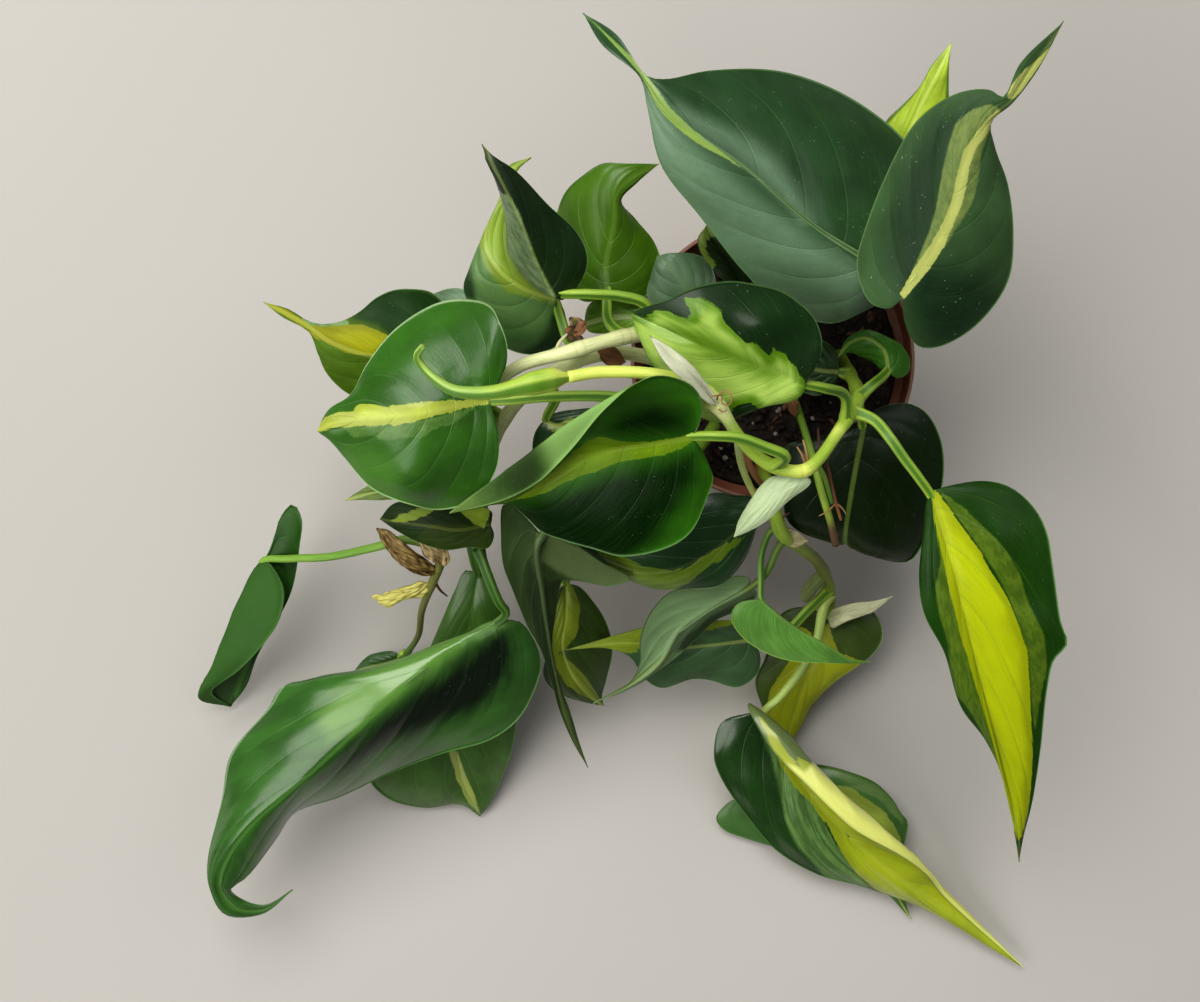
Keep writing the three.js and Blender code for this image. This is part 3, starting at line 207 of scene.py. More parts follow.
# Leaves by stem: the petiole's line, the midrib and both margins, and where a half folds. Large ones are
# cut finer and have more veins. drip is how many spans of a line make the drip tip, where that isn't one.
LEAVES = {
    "stem_top": {
        "leaf_upper_left": {
            "large": True, "drip": 2, "petiole": [[838, 280, 108], [862, 271, 140]],
            "rib": [[885, 272, 158], [808, 221, 165], [743, 166, 172], [674, 116, 178], [644, 77, 178],
                [613, 42, 174], [583, 13, 166]],
            "right": [[908, 268, 150], [930, 225, 146], [925, 175, 143], [904, 138, 143], [852, 97, 148],
                [787, 73, 156], [711, 72, 168], [664, 80, 176], [647, 76, 178], [617, 35, 175]],
            "left": [[890, 295, 150], [868, 309, 143], [830, 323, 138], [780, 303, 140], [743, 270, 148],
                [700, 218, 160], [661, 166, 170], [648, 108, 177], [641, 79, 178], [603, 46, 174]],
        },
        "leaf_upper_right": {
            "large": True, "drip": 2, "petiole": [[895, 286, 134], [906, 290, 160]],
            "rib": [[903, 298, 183], [924, 268, 186], [950, 218, 190], [964, 163, 194], [982, 127, 197],
                [1008, 103, 198], [1030, 70, 194], [1064, 21, 184]],
            "right": [[905, 322, 178], [918, 346, 172], [940, 347, 170], [975, 327, 170],
                [1006, 283, 174], [1012, 235, 180], [1008, 184, 186], [996, 146, 191], [993, 120, 195],
                [1010, 107, 197], [1038, 70, 193]],
            "left": [[890, 308, 180], [870, 302, 176], [857, 265, 174], [863, 233, 176], [882, 182, 182],
                [918, 121, 188], [958, 94, 194], [990, 90, 198], [1003, 97, 199], [1020, 64, 196]],
        },
        "leaf_back_pale": {
            "petiole": [[838, 270, 104], [852, 238, 119]],
            "rib": [[868, 215, 126], [895, 160, 134], [925, 95, 142], [940, 66, 145], [952, 42, 146]],
            "right": [[885, 225, 122], [915, 215, 124], [940, 170, 130], [949, 115, 138], [948, 86, 142],
                [948, 62, 145]],
            "left": [[858, 208, 124], [862, 175, 124], [876, 140, 130], [889, 119, 134], [903, 104, 137],
                [918, 87, 141], [932, 65, 145]],
        },
        "leaf_back_young": {
            "petiole": [[816, 300, 90], [780, 302, 112]],
            "rib": [[745, 288, 128], [730, 262, 131], [714, 240, 134], [706, 226, 135]],
            "right": [[752, 280, 128], [748, 270, 130], [735, 250, 133], [714, 231, 135]],
            "left": [[738, 290, 128], [720, 276, 130], [703, 257, 132], [698, 239, 134]],
        },
    },
    "stem_main": {
        "leaf_middle": {
            "large": True, "petiole": [[845, 396, 136], [825, 388, 146]],
            "rib": [[804, 386, 150], [775, 372, 153], [744, 362, 155], [703, 346, 156], [662, 327, 153],
                [631, 313, 150]],
            "right": [[808, 378, 152], [819, 360, 158], [822, 341, 162], [815, 319, 165], [800, 303, 167],
                [780, 290, 168], [754, 284, 168], [734, 281, 168], [713, 283, 167], [691, 289, 165],
                [668, 300, 160], [648, 306, 155]],
            "left": [[803, 393, 148], [795, 400, 147], [764, 407, 146], [744, 415, 143], [722, 423, 140],
                [698, 416, 138], [675, 395, 139], [656, 370, 141], [648, 358, 144], [640, 339, 147],
                [634, 322, 149]],
        },
        "leaf_centre": {
            "large": True,
            "petiole": [[785, 456, 151], [765, 447, 154], [740, 438, 156], [715, 436, 156]],
            "rib": [[691, 438, 153], [660, 443, 152], [631, 447, 151], [593, 456, 147], [555, 479, 140],
                [505, 501, 135], [450, 513, 131]],
            "right": [[698, 426, 157], [702, 402, 166], [690, 384, 172], [660, 375, 176], [640, 381, 177],
                [604, 410, 170], [574, 446, 158], [555, 467, 151], [539, 482, 146], [505, 500, 137]],
            "right_fold": [[695, 430, 154], [692, 414, 157], [665, 407, 159], [632, 408, 161],
                [598, 417, 163], [564, 431, 158], [522, 459, 149], [480, 490, 138]],
            "left": [[700, 447, 151], [709, 466, 149], [713, 478, 147], [708, 495, 145], [692, 530, 141],
                [670, 546, 138], [622, 556, 134], [593, 549, 132], [564, 541, 130], [541, 532, 128],
                [527, 518, 128], [508, 504, 133]],
        },
        "leaf_left_big": {
            "large": True,
            "petiole": [[690, 402, 150], [650, 401, 150], [600, 396, 151], [545, 397, 152],
                [512, 400, 151]],
            "rib": [[489, 402, 150], [456, 406, 151], [422, 413, 151], [380, 417, 148], [335, 422, 141],
                [317, 431, 136]],
            "right": [[495, 388, 150], [506, 365, 152], [507, 345, 153], [499, 321, 155], [489, 305, 153],
                [465, 299, 148], [436, 304, 143], [396, 330, 140], [367, 365, 140], [350, 394, 141],
                [328, 409, 140]],
            "left": [[493, 412, 149], [499, 440, 146], [495, 472, 138], [472, 502, 129], [439, 511, 127],
                [413, 506, 131], [374, 489, 131], [345, 456, 133], [330, 440, 137]],
        },
        "leaf_right_yellow": {
            "large": True,
            "petiole": [[874, 420, 128], [890, 438, 132], [904, 458, 131], [919, 478, 129]],
            "rib": [[931, 492, 126], [951, 560, 124], [968, 630, 116], [985, 700, 104], [1003, 770, 88],
                [1018, 835, 72], [1019, 862, 62]],
            "right": [[927, 500, 125], [924, 529, 123], [919, 580, 119], [925, 615, 116], [946, 654, 110],
                [961, 707, 101], [984, 740, 94], [1002, 779, 85], [1015, 830, 73]],
            "left": [[945, 487, 126], [984, 481, 126], [1010, 487, 126], [1033, 506, 125],
                [1047, 531, 124], [1054, 570, 122], [1061, 623, 119], [1067, 643, 117], [1053, 660, 112],
                [1046, 690, 107], [1040, 751, 93], [1033, 802, 81], [1024, 838, 71]],
        },
        "leaf_right_dark": {
            "petiole": [[859, 408, 107]],
            "rib": [[864, 427, 102], [856, 465, 101], [850, 500, 98], [846, 530, 90], [846, 544, 80],
                [850, 535, 66]],
            "right": [[856, 427, 101], [840, 432, 100], [812, 440, 99], [786, 446, 98], [783, 485, 98],
                [786, 516, 90], [800, 530, 84], [826, 540, 80]],
            "left": [[868, 415, 102], [885, 406, 102], [905, 403, 101], [925, 412, 99], [940, 440, 95],
                [943, 480, 90], [930, 530, 82], [912, 560, 76], [898, 562, 75], [868, 552, 78]],
        },
        "leaf_curly": {
            "petiole": [[870, 387, 121]],
            "rib": [[888, 371, 116], [884, 350, 119], [868, 338, 119], [852, 342, 115], [838, 357, 108]],
            "right": [[897, 378, 114], [908, 373, 115], [910, 360, 117], [902, 346, 119], [890, 338, 121],
                [868, 330, 121], [847, 338, 115]],
            "left": [[880, 368, 112], [870, 362, 109], [860, 355, 110], [854, 352, 112], [848, 353, 110]],
        },
        "leaf_inner_dark": {
            "petiole": [], "rib": [[838, 372, 100], [818, 370, 101], [798, 362, 100], [775, 352, 96]],
            "right": [[838, 356, 100], [822, 340, 99], [802, 336, 97], [784, 345, 96]],
            "left": [[834, 386, 99], [818, 395, 98], [798, 388, 96], [781, 368, 95]],
        },
    },
    "stem_left_a": {
        "leaf_left_dark": {
            "petiole": [[650, 318, 134], [644, 303, 139], [620, 296, 141], [590, 294, 142]],
            "rib": [[554, 296, 142], [546, 282, 146], [536, 262, 152], [525, 232, 160], [508, 195, 167],
                [490, 160, 171], [482, 144, 170]],
            "right": [[562, 300, 140], [576, 288, 141], [586, 268, 143], [586, 250, 146], [576, 230, 150],
                [549, 205, 157], [515, 172, 166], [493, 156, 171]],
            "left": [[546, 294, 140], [532, 285, 139], [519, 271, 140], [510, 253, 143], [507, 225, 150],
                [499, 197, 158], [492, 172, 166], [486, 158, 171]],
        },
        "leaf_left_yellow": {
            "large": True, "petiole": [[567, 337, 128], [560, 316, 127]],
            "rib": [[556, 300, 130], [523, 288, 131], [499, 270, 133], [486, 246, 134], [487, 225, 135],
                [500, 200, 136], [511, 172, 137], [531, 157, 134]],
            "right": [[556, 290, 130], [548, 270, 131], [530, 255, 132], [515, 235, 133], [510, 215, 134],
                [513, 190, 136], [518, 170, 137]],
            "left": [[562, 306, 127], [566, 325, 122], [557, 345, 117], [530, 354, 115], [500, 345, 117],
                [474, 315, 121], [463, 289, 124], [470, 267, 128], [481, 243, 131], [491, 223, 133],
                [502, 195, 135], [507, 168, 136]],
        },
        "leaf_left_green": {
            "petiole": [[609, 322, 122], [607, 304, 117]],
            "rib": [[607, 289, 117], [606, 263, 120], [613, 230, 124], [617, 197, 127], [630, 178, 128],
                [659, 164, 125]],
            "right": [[615, 300, 115], [635, 303, 112], [652, 287, 111], [660, 266, 112], [655, 243, 114],
                [636, 218, 119], [621, 200, 124], [636, 182, 126]],
            "left": [[598, 300, 115], [580, 300, 111], [566, 282, 108], [557, 255, 106], [556, 228, 108],
                [561, 205, 111], [568, 190, 115], [582, 176, 121], [602, 163, 126], [628, 163, 128]],
        },
        "leaf_left_small": {
            "petiole": [[655, 322, 108]],
            "rib": [[643, 316, 106], [612, 318, 104], [597, 321, 101], [584, 325, 98]],
            "right": [[645, 306, 105], [630, 298, 104], [605, 297, 102], [588, 306, 100]],
            "left": [[642, 326, 105], [625, 333, 104], [605, 334, 101], [590, 331, 99]],
        },
        "leaf_back_grey": {
            "petiole": [[494, 366, 124], [484, 346, 110]],
            "rib": [[480, 322, 101], [455, 308, 100], [435, 302, 98], [412, 300, 95]],
            "right": [[482, 305, 100], [468, 292, 99], [447, 289, 98], [425, 296, 96]],
            "left": [[472, 330, 100], [450, 325, 98], [428, 310, 96]],
        },
        "leaf_back_round": {
            "petiole": [[712, 330, 106]],
            "rib": [[706, 316, 118], [690, 295, 122], [676, 275, 124], [664, 262, 124], [657, 256, 122]],
            "right": [[714, 310, 118], [716, 288, 121], [710, 262, 122], [695, 254, 123],
                [672, 254, 124]],
            "left": [[695, 325, 117], [670, 322, 116], [652, 308, 116], [646, 292, 118], [652, 272, 121]],
        },
        "leaf_left_tiny": {
            "petiole": [[450, 462, 115]],
            "rib": [[430, 476, 112], [395, 488, 108], [365, 494, 104], [344, 501, 100]],
            "right": [[425, 465, 111], [398, 472, 109], [372, 484, 106], [358, 491, 103]],
            "left": [[428, 490, 111], [405, 499, 108], [384, 500, 106], [364, 499, 103]],
        },
        "leaf_side_left": {
            "petiole": [[407, 540, 71], [378, 547, 65], [330, 557, 54], [290, 559, 46]],
            "rib": [[264, 560, 40], [268, 600, 32], [260, 640, 25], [246, 672, 16], [231, 706, 5]],
            "right": [[272, 566, 45], [284, 590, 47], [279, 619, 45], [262, 646, 39], [240, 668, 30],
                [212, 692, 20]],
            "right_fold": [[256, 568, 40], [243, 596, 38], [228, 626, 34], [213, 664, 27],
                [201, 697, 17]],
            "left": [[272, 548, 43], [280, 518, 46], [293, 504, 47], [302, 520, 46], [300, 545, 43],
                [292, 590, 37], [275, 625, 30], [258, 655, 22], [247, 686, 12]],
        },
        "leaf_lower_tiny": {
            "petiole": [], "rib": [[398, 660, 10], [385, 664, 9], [368, 668, 7], [352, 674, 4]],
            "right": [[397, 653, 10], [385, 651, 9], [366, 658, 6]],
            "left": [[397, 669, 9], [385, 675, 7], [368, 676, 5]],
        },
    },
    "stem_left_b": {
        "leaf_low_big": {
            "large": True, "drip": 3, "petiole": [[486, 571, 81], [499, 602, 78], [506, 613, 75]],
            "rib": [[504, 620, 72], [450, 650, 77], [379, 710, 78], [308, 776, 70], [244, 833, 60],
                [219, 882, 48], [234, 907, 40], [262, 909, 37], [293, 890, 38]],
            "right": [[488, 622, 72], [455, 641, 72], [391, 665, 68], [331, 682, 64], [284, 687, 60],
                [268, 710, 57], [230, 755, 53], [221, 798, 52], [207, 860, 49], [209, 886, 47],
                [226, 915, 39], [262, 914, 36]],
            "left": [[520, 622, 70], [534, 640, 66], [541, 662, 62], [536, 686, 58], [518, 720, 54],
                [490, 741, 52], [440, 755, 50], [391, 772, 48], [340, 795, 46], [294, 812, 45],
                [275, 840, 45], [247, 878, 46], [231, 890, 47], [241, 899, 41], [264, 905, 38]],
        },
        "leaf_low_behind": {
            "large": True, "petiole": [[470, 534, 73], [474, 560, 68]],
            "rib": [[478, 574, 60], [470, 620, 54], [458, 680, 44], [455, 740, 30], [462, 780, 16],
                [471, 802, 9], [480, 816, 3]],
            "right": [[466, 570, 60], [455, 590, 57], [440, 625, 50], [425, 660, 42], [395, 720, 27],
                [368, 775, 14], [388, 798, 9], [425, 807, 6], [460, 804, 6]],
            "left": [[490, 575, 59], [500, 600, 56], [508, 640, 50], [514, 690, 40], [516, 724, 32],
                [512, 750, 24], [500, 782, 13], [488, 806, 6]],
        },
        "leaf_far_left": {
            "drip": 2, "petiole": [[492, 410, 117], [468, 380, 113]],
            "rib": [[442, 352, 108], [405, 356, 110], [372, 356, 112], [331, 342, 114], [309, 327, 114],
                [285, 313, 111], [263, 302, 106]],
            "right": [[446, 335, 106], [448, 310, 104], [432, 292, 104], [410, 289, 106], [393, 291, 107],
                [376, 299, 109], [360, 312, 111], [338, 322, 113], [312, 322, 114], [289, 309, 111]],
            "left": [[442, 370, 106], [425, 392, 102], [395, 405, 100], [365, 402, 102], [345, 392, 104],
                [327, 372, 108], [319, 353, 111], [310, 332, 113], [283, 317, 110]],
        },
        "leaf_behind_centre": {
            "petiole": [[556, 396, 119]],
            "rib": [[544, 421, 114], [575, 431, 115], [608, 444, 115], [640, 458, 112]],
            "right": [[535, 433, 113], [534, 455, 111], [553, 472, 110], [590, 480, 110],
                [620, 472, 110]],
            "left": [[553, 414, 114], [575, 409, 114], [605, 412, 114], [630, 435, 113]],
        },
        "leaf_under_left": {
            "petiole": [],
            "rib": [[489, 524, 94], [460, 530, 95], [430, 526, 95], [405, 523, 93], [380, 519, 89]],
            "right": [[492, 512, 95], [475, 505, 95], [445, 500, 95], [415, 500, 94], [393, 504, 92]],
            "left": [[494, 535, 94], [488, 548, 93], [470, 547, 93], [445, 550, 92], [420, 543, 91],
                [395, 529, 90]],
        },
    },
    "stem_low": {
        "leaf_hanging_back": {
            "large": True, "drip": 2, "petiole": [[580, 524, 100], [558, 525, 108]],
            "rib": [[538, 533, 111], [541, 580, 104], [546, 620, 92], [553, 660, 76], [564, 708, 57],
                [576, 742, 40], [588, 767, 26]],
            "right": [[560, 536, 112], [602, 562, 104], [630, 578, 98], [612, 586, 95], [582, 582, 96],
                [566, 578, 96], [556, 617, 88], [552, 646, 79], [558, 680, 67], [569, 707, 57],
                [579, 741, 40]],
            "left": [[526, 518, 113], [511, 505, 114], [503, 505, 113], [501, 536, 110], [503, 564, 106],
                [513, 590, 99], [527, 625, 88], [541, 651, 78], [553, 687, 65], [559, 709, 57],
                [573, 742, 40]],
        },
        "leaf_inner_yellow": {
            "petiole": [[563, 573, 73]],
            "rib": [[566, 584, 66], [566, 615, 62], [562, 645, 56], [572, 675, 46], [588, 694, 37],
                [604, 706, 30]],
            "right": [[556, 592, 66], [552, 615, 61], [548, 645, 54], [543, 676, 44], [554, 690, 40],
                [582, 700, 34]],
            "left": [[578, 586, 67], [592, 600, 63], [605, 620, 58], [612, 650, 50], [607, 680, 41],
                [602, 697, 34]],
        },
    },
    "stem_front": {
        "leaf_under_centre": {
            "large": True, "petiole": [],
            "rib": [[760, 508, 106], [735, 533, 106], [712, 551, 104], [680, 567, 101], [640, 572, 97],
                [600, 558, 93], [572, 543, 89]],
            "right": [[752, 497, 107], [734, 495, 108], [712, 493, 109], [695, 505, 110], [670, 520, 109],
                [640, 530, 105], [612, 540, 99], [588, 544, 93]],
            "left": [[760, 520, 104], [755, 532, 102], [748, 552, 99], [735, 572, 96], [718, 586, 94],
                [690, 589, 92], [657, 589, 91], [630, 580, 91], [596, 560, 91]],
        },
        "leaf_front_folded": {
            "large": True, "petiole": [[778, 548, 86], [765, 575, 82]],
            "rib": [[748, 586, 78], [714, 606, 77], [681, 629, 74], [662, 661, 70], [640, 680, 66],
                [593, 703, 56]],
            "right": [[757, 594, 74], [748, 606, 69], [717, 621, 64], [697, 639, 61], [676, 656, 60],
                [653, 673, 60], [632, 688, 62]],
            "left": [[750, 579, 80], [738, 576, 82], [715, 583, 83], [691, 586, 83], [671, 591, 82],
                [654, 608, 81], [645, 625, 79], [640, 644, 75], [640, 660, 71], [630, 680, 66]],
        },
        "leaf_front_small": {
            "petiole": [[772, 530, 91], [762, 552, 88], [761, 580, 85]],
            "rib": [[762, 600, 82], [784, 619, 80], [808, 635, 76], [832, 648, 70], [850, 659, 65],
                [870, 662, 60]],
            "right": [[750, 600, 82], [736, 605, 81], [731, 618, 79], [738, 632, 76], [750, 644, 73],
                [769, 655, 70], [792, 661, 68], [824, 662, 66], [848, 663, 64]],
            "left": [[768, 609, 78], [779, 626, 70], [800, 642, 64], [825, 653, 61], [846, 661, 62]],
        },
        "leaf_front_low": {
            "petiole": [[808, 610, 46], [780, 636, 45]],
            "rib": [[752, 640, 46], [710, 645, 48], [670, 648, 51], [640, 643, 54], [612, 643, 58],
                [566, 650, 66]],
            "right": [[755, 625, 45], [731, 620, 46], [714, 620, 47], [690, 618, 49], [660, 620, 52],
                [640, 628, 56], [610, 637, 59]],
            "left": [[760, 655, 43], [757, 674, 40], [738, 687, 38], [710, 681, 40], [693, 680, 42],
                [662, 688, 43], [645, 678, 47], [630, 656, 53], [606, 648, 58]],
        },
        "leaf_front_yellow": {
            "petiole": [],
            "rib": [[829, 624, 31], [816, 655, 28], [802, 690, 22], [792, 722, 16], [786, 748, 12]],
            "right": [[822, 614, 33], [812, 609, 33], [798, 607, 32], [782, 613, 31], [772, 630, 29],
                [765, 658, 26], [755, 682, 20], [762, 706, 16], [776, 732, 13]],
            "left": [[840, 614, 32], [850, 603, 32], [862, 603, 31], [880, 620, 29], [883, 636, 28],
                [874, 652, 26], [854, 667, 24], [836, 680, 21], [816, 702, 18], [799, 732, 13]],
        },
        "leaf_front_right": {
            "large": True, "petiole": [[823, 608, 43], [817, 640, 41], [804, 666, 40], [780, 697, 36]],
            "rib": [[757, 712, 34], [782, 750, 30], [815, 800, 27], [860, 848, 24], [905, 885, 20],
                [942, 910, 14], [1022, 967, 4]],
            "right": [[746, 714, 33], [722, 722, 31], [714, 755, 27], [721, 778, 23], [746, 817, 18],
                [776, 851, 14], [819, 874, 11], [861, 884, 10], [905, 900, 9], [940, 918, 8]],
            "left": [[748, 706, 38], [752, 717, 42], [773, 751, 46], [804, 782, 48], [830, 808, 46],
                [853, 828, 43], [900, 854, 35], [928, 876, 26], [946, 898, 18]],
            "left_fold": [[750, 704, 37], [762, 712, 40], [781, 729, 42], [816, 765, 43], [835, 785, 42],
                [870, 817, 38], [898, 843, 33], [922, 866, 26], [946, 890, 17]],
        },
        "leaf_front_right_low": {
            "petiole": [[752, 778, 7]],
            "rib": [[742, 797, 9], [790, 812, 12], [840, 838, 11], [882, 875, 8], [911, 919, 3]],
            "right": [[728, 803, 8], [716, 818, 6], [724, 830, 5], [745, 838, 4], [790, 850, 4],
                [840, 872, 3], [884, 892, 3]],
            "left": [[748, 788, 10], [770, 772, 13], [800, 764, 16], [828, 766, 17], [853, 773, 18],
                [876, 783, 17], [893, 800, 15], [900, 812, 14], [907, 821, 13], [903, 849, 10],
                [900, 880, 7]],
        },
    },
}

# Papery sheaths by stem.
SHEATHS = {
    "stem_main": {
        "sheath_main_upper": {
            "rib": [[718, 406, 155], [690, 375, 168], [668, 352, 173], [650, 336, 177]],
            "right": [[715, 396, 160], [695, 369, 168], [670, 347, 174]],
            "left": [[706, 402, 162], [684, 382, 169], [661, 358, 174]],
        },
        "sheath_main_lower": {
            "rib": [[803, 474, 140], [785, 487, 138], [762, 508, 134], [734, 537, 124]],
            "right": [[790, 474, 137], [770, 478, 135], [750, 500, 131], [739, 520, 127]],
            "left": [[811, 482, 138], [786, 503, 135], [764, 522, 131], [746, 533, 127]],
        },
    },
    "stem_front": {
        "sheath_front_dry": {
            "rib": [[784, 534, 90], [794, 541, 86], [808, 541, 84]],
            "right": [[784, 543, 86], [796, 547, 84]], "left": [[788, 528, 91], [798, 532, 88]],
        },
        "sheath_front_flap": {
            "rib": [[824, 572, 54], [812, 585, 52], [801, 600, 48]],
            "right": [[817, 572, 54], [806, 582, 51], [801, 591, 49]],
            "left": [[825, 582, 50], [815, 594, 49], [806, 602, 47]],
        },
        "sheath_front_node": {
            "rib": [[829, 618, 32], [850, 612, 40], [871, 607, 42], [893, 596, 43]],
            "right": [[832, 628, 35], [848, 621, 39], [872, 612, 41]],
            "left": [[832, 610, 38], [850, 603, 41], [872, 601, 42]],
        },
    },
    "stem_left_a": {
        "sheath_left_brown": {
            "rib": [[438, 572, 66], [420, 568, 74], [400, 556, 76], [377, 528, 78]],
            "right": [[430, 562, 72], [410, 548, 77], [388, 530, 79]],
            "left": [[425, 576, 72], [402, 566, 75], [382, 542, 77]],
        },
        "sheath_left_dry": {
            "rib": [[441, 565, 69], [440, 556, 76], [432, 545, 79], [420, 534, 80]],
            "right": [[449, 562, 73], [449, 553, 77], [436, 538, 80]],
            "left": [[433, 562, 73], [423, 552, 76], [417, 541, 79]],
        },
        "sheath_left_yellow": {
            "rib": [[432, 583, 62], [418, 590, 62], [398, 592, 60], [372, 597, 55]],
            "right": [[424, 582, 64], [405, 586, 62], [388, 592, 58]],
            "left": [[425, 594, 59], [405, 600, 57], [386, 606, 55]],
        },
    },
}

# What each kind of green and brown is, as linear colour.
# DEEP is also the colour of the dark patches where a leaf names none; on leaf_middle those are painted shade.
DEEP = (0.006, 0.022, 0.006)
GREEN = (0.030, 0.098, 0.014)
BRIGHT = (0.075, 0.200, 0.020)
GREY = (0.120, 0.190, 0.075)
LIME = (0.420, 0.520, 0.035)
PALE = (0.560, 0.640, 0.170)
UNDER = (0.150, 0.230, 0.100)
CREAM = (0.620, 0.620, 0.260)
STRAW = (0.360, 0.500, 0.060)
SAP = (0.70, 0.76, 0.16)
IVORY = (0.78, 0.78, 0.42)
BARK = (0.110, 0.060, 0.028)
OLIVE = (0.190, 0.205, 0.045)
RUST = (0.260, 0.110, 0.035)
UMBER = (0.060, 0.022, 0.014)
TAN = (0.420, 0.270, 0.120)

# The rolled new leaf: its line, its radii at even steps and its tints.
NEW_LEAF = {
    "line": [[568, 377, 166], [552, 379, 168], [538, 382, 169], [520, 386, 169], [500, 391, 168],
        [474, 393, 166], [453, 390, 165], [436, 380, 164], [422, 366, 164], [417, 356, 166],
        [423, 346, 169]],
    "radius": [2.4, 3.9, 3.9, 2.7, 2.3, 2.2, 2.0, 1.7, 1.5, 1.3, 1.0],
    "tints": [(0, SAP), (0.05, SAP), (0.15, STRAW), (0.35, STRAW), (0.55, (0.31, 0.46, 0.09)),
        (1, (0.37, 0.51, 0.1))],
}

# Aerial roots, thin petioles and a tendril, each carried by the stem at its first point: radius at both
# ends, colour at both ends, line.
ROOTS = {
    "root_node_left": [0.65, 0.3, RUST, TAN, [[806, 466, 139], [802, 455, 136], [797, 447, 134]]],
    "root_node_right": [0.6, 0.3, RUST, TAN, [[808, 463, 139], [806, 451, 137], [803, 440, 135]]],
    "root_node_up": [0.8, 0.35, UMBER, UMBER, [[822, 453, 136], [819, 441, 132], [818, 428, 129]]],
    "root_long": [0.9, 0.55, UMBER, RUST,
        [[821, 455, 136], [826, 463, 129], [831, 483, 120], [836, 503, 114], [841, 520, 110]]],
    "root_fork_left": [0.4, 0.22, RUST, TAN, [[836, 503, 114], [828, 511, 112], [819, 516, 111]]],
    "root_fork_right": [0.4, 0.22, RUST, TAN, [[836, 503, 114], [842, 508, 113], [846, 514, 111]]],
    "tendril": [
        0.36, 0.2, TAN, RUST,
        [[716, 402, 155], [719, 395, 160], [726, 391, 162], [732, 397, 162], [729, 405, 161],
            [722, 403, 161], [722, 396, 162], [712, 396, 163]],
    ],
    "tendril_short": [0.3, 0.2, TAN, RUST, [[718, 408, 155], [723, 412, 158], [727, 410, 160]]],
    "root_pale": [0.8, 0.4, CREAM, (0.62, 0.55, 0.44),
        [[556, 352, 136], [559, 343, 136], [567, 334, 135]]],
    "green_line": [0.9, 0.8, STRAW, BRIGHT,
        [[816, 463, 137], [824, 476, 125], [829, 492, 118], [832, 503, 114]]],
    "root_front": [0.6, 0.3, RUST, UMBER, [[776, 522, 93], [782, 518, 96], [790, 512, 97]]],
    "root_left_low": [0.7, 0.3, RUST, UMBER, [[434, 580, 64], [440, 590, 58], [447, 596, 50]]],
    "petiole_low": [
        1.15, 1.35, SAP, (0.52, 0.62, 0.27),
        [[770, 500, 97], [757, 497, 108], [748, 482, 118], [741, 463, 128], [738, 445, 138],
            [738, 436, 145]],
    ],
    "petiole_dry": [0.9, 1.5, RUST, (0.5, 0.24, 0.1),
        [[768, 488, 95], [759, 481, 103], [751, 468, 110], [746, 456, 115], [744, 447, 118]]],
}

# A withered bud.
BUD = {
    "line": [[579, 352, 134], [578, 342, 134], [573, 334, 133], [577, 326, 135], [570, 318, 133]],
    "radius": [1.3, 1.2, 2.4, 1.7, 2.9, 2.2, 2.7, 1.4, 0.6],
    "tints": [(0, STRAW), (0.25, UMBER), (0.5, RUST), (0.7, UMBER), (0.85, TAN), (1, UMBER)],
}

# Dry scraps, given as small blades.
SCRAPS = {
    "scrap_bud": {
        "rib": [[573, 334, 134], [581, 330, 137], [587, 323, 137]],
        "right": [[580, 336, 136], [586, 330, 137]], "left": [[576, 326, 136], [582, 320, 138]],
    },
    "scrap_rim": {
        "rib": [[598, 352, 122], [612, 356, 120], [626, 362, 116]],
        "right": [[604, 345, 123], [616, 348, 121]], "left": [[602, 361, 121], [616, 367, 118]],
    },
    "scrap_cut": {
        "rib": [[795, 416, 98], [792, 405, 101], [790, 394, 102]],
        "right": [[799, 409, 100], [797, 399, 102]], "left": [[790, 412, 99], [786, 401, 101]],
    },
}

# Markings: the kinds of patch, the depth of a place far outside them all, and how many millimetres a patch
# that is kept to part of the width loses over the whole of it.
ZONES = ("lime", "mid", "deep")
FAR_OUTSIDE = 50.0
WITHIN_MM = 25

# What the materials read where a stalk has no channel or no knuckle near, and how far two seeds are apart.
NO_CHANNEL = 20
NO_RING = 50.0
SEED_STEP = 37.0

# Noise that runs out along the veins: bands to a vein's spacing, and how fast they change per millimetre.
STREAKS = (3.2, 0.06)
STROKES = (5.0, 0.08)
THREADS = (9.0, 0.12)
FINE_VEINS = (26.0, 0.10)

# How far streaks and grain carry a patch's edge, and how soft the edges of two kinds of patch are, in mm.
STRAY = 2.6
FRAY = 0.9
MID_EDGE = 0.45
LIME_EDGE = 0.22

# The dusty film and its grains, what a stalk's streaks keep of its colour, and what its channel keeps of it
# as painted shade.
FILM = (0.29, 0.36, 0.27)
DUST_GRAIN = (0.55, 0.60, 0.52)
STREAK_SHADE = (0.40, 0.62, 0.38)
GROOVE_PAINTED_SHADE = (0.14, 0.34, 0.12)

# A stalk's brown blots, and the scar beside each knuckle with its distance from the knuckle.
BLOTS = (0.16, 0.12, 0.05)
SCAR = (0.14, 0.09, 0.04)
SCAR_AWAY = 1.6

# The heights between which the pot's lip turns dusty, and the sharpest edge that is drawn smooth.
DUSTY_LIP = (89.5, 91.8)
SHARP_DEGREES = 35

# The pot's two browns, its water marks, the dust on its lip and its grit, and the peat's two browns and its
# dry crumbs.
POT_BROWNS = ((0.20, 0.062, 0.033), (0.27, 0.095, 0.055))
POT_MARKS = (0.36, 0.20, 0.14)
POT_DUST = (0.45, 0.26, 0.19)
POT_GRIT = (0.07, 0.04, 0.03)
PEAT_BROWNS = ((0.008, 0.005, 0.003), (0.030, 0.018, 0.010))
DRY_PEAT = (0.075, 0.045, 0.025)

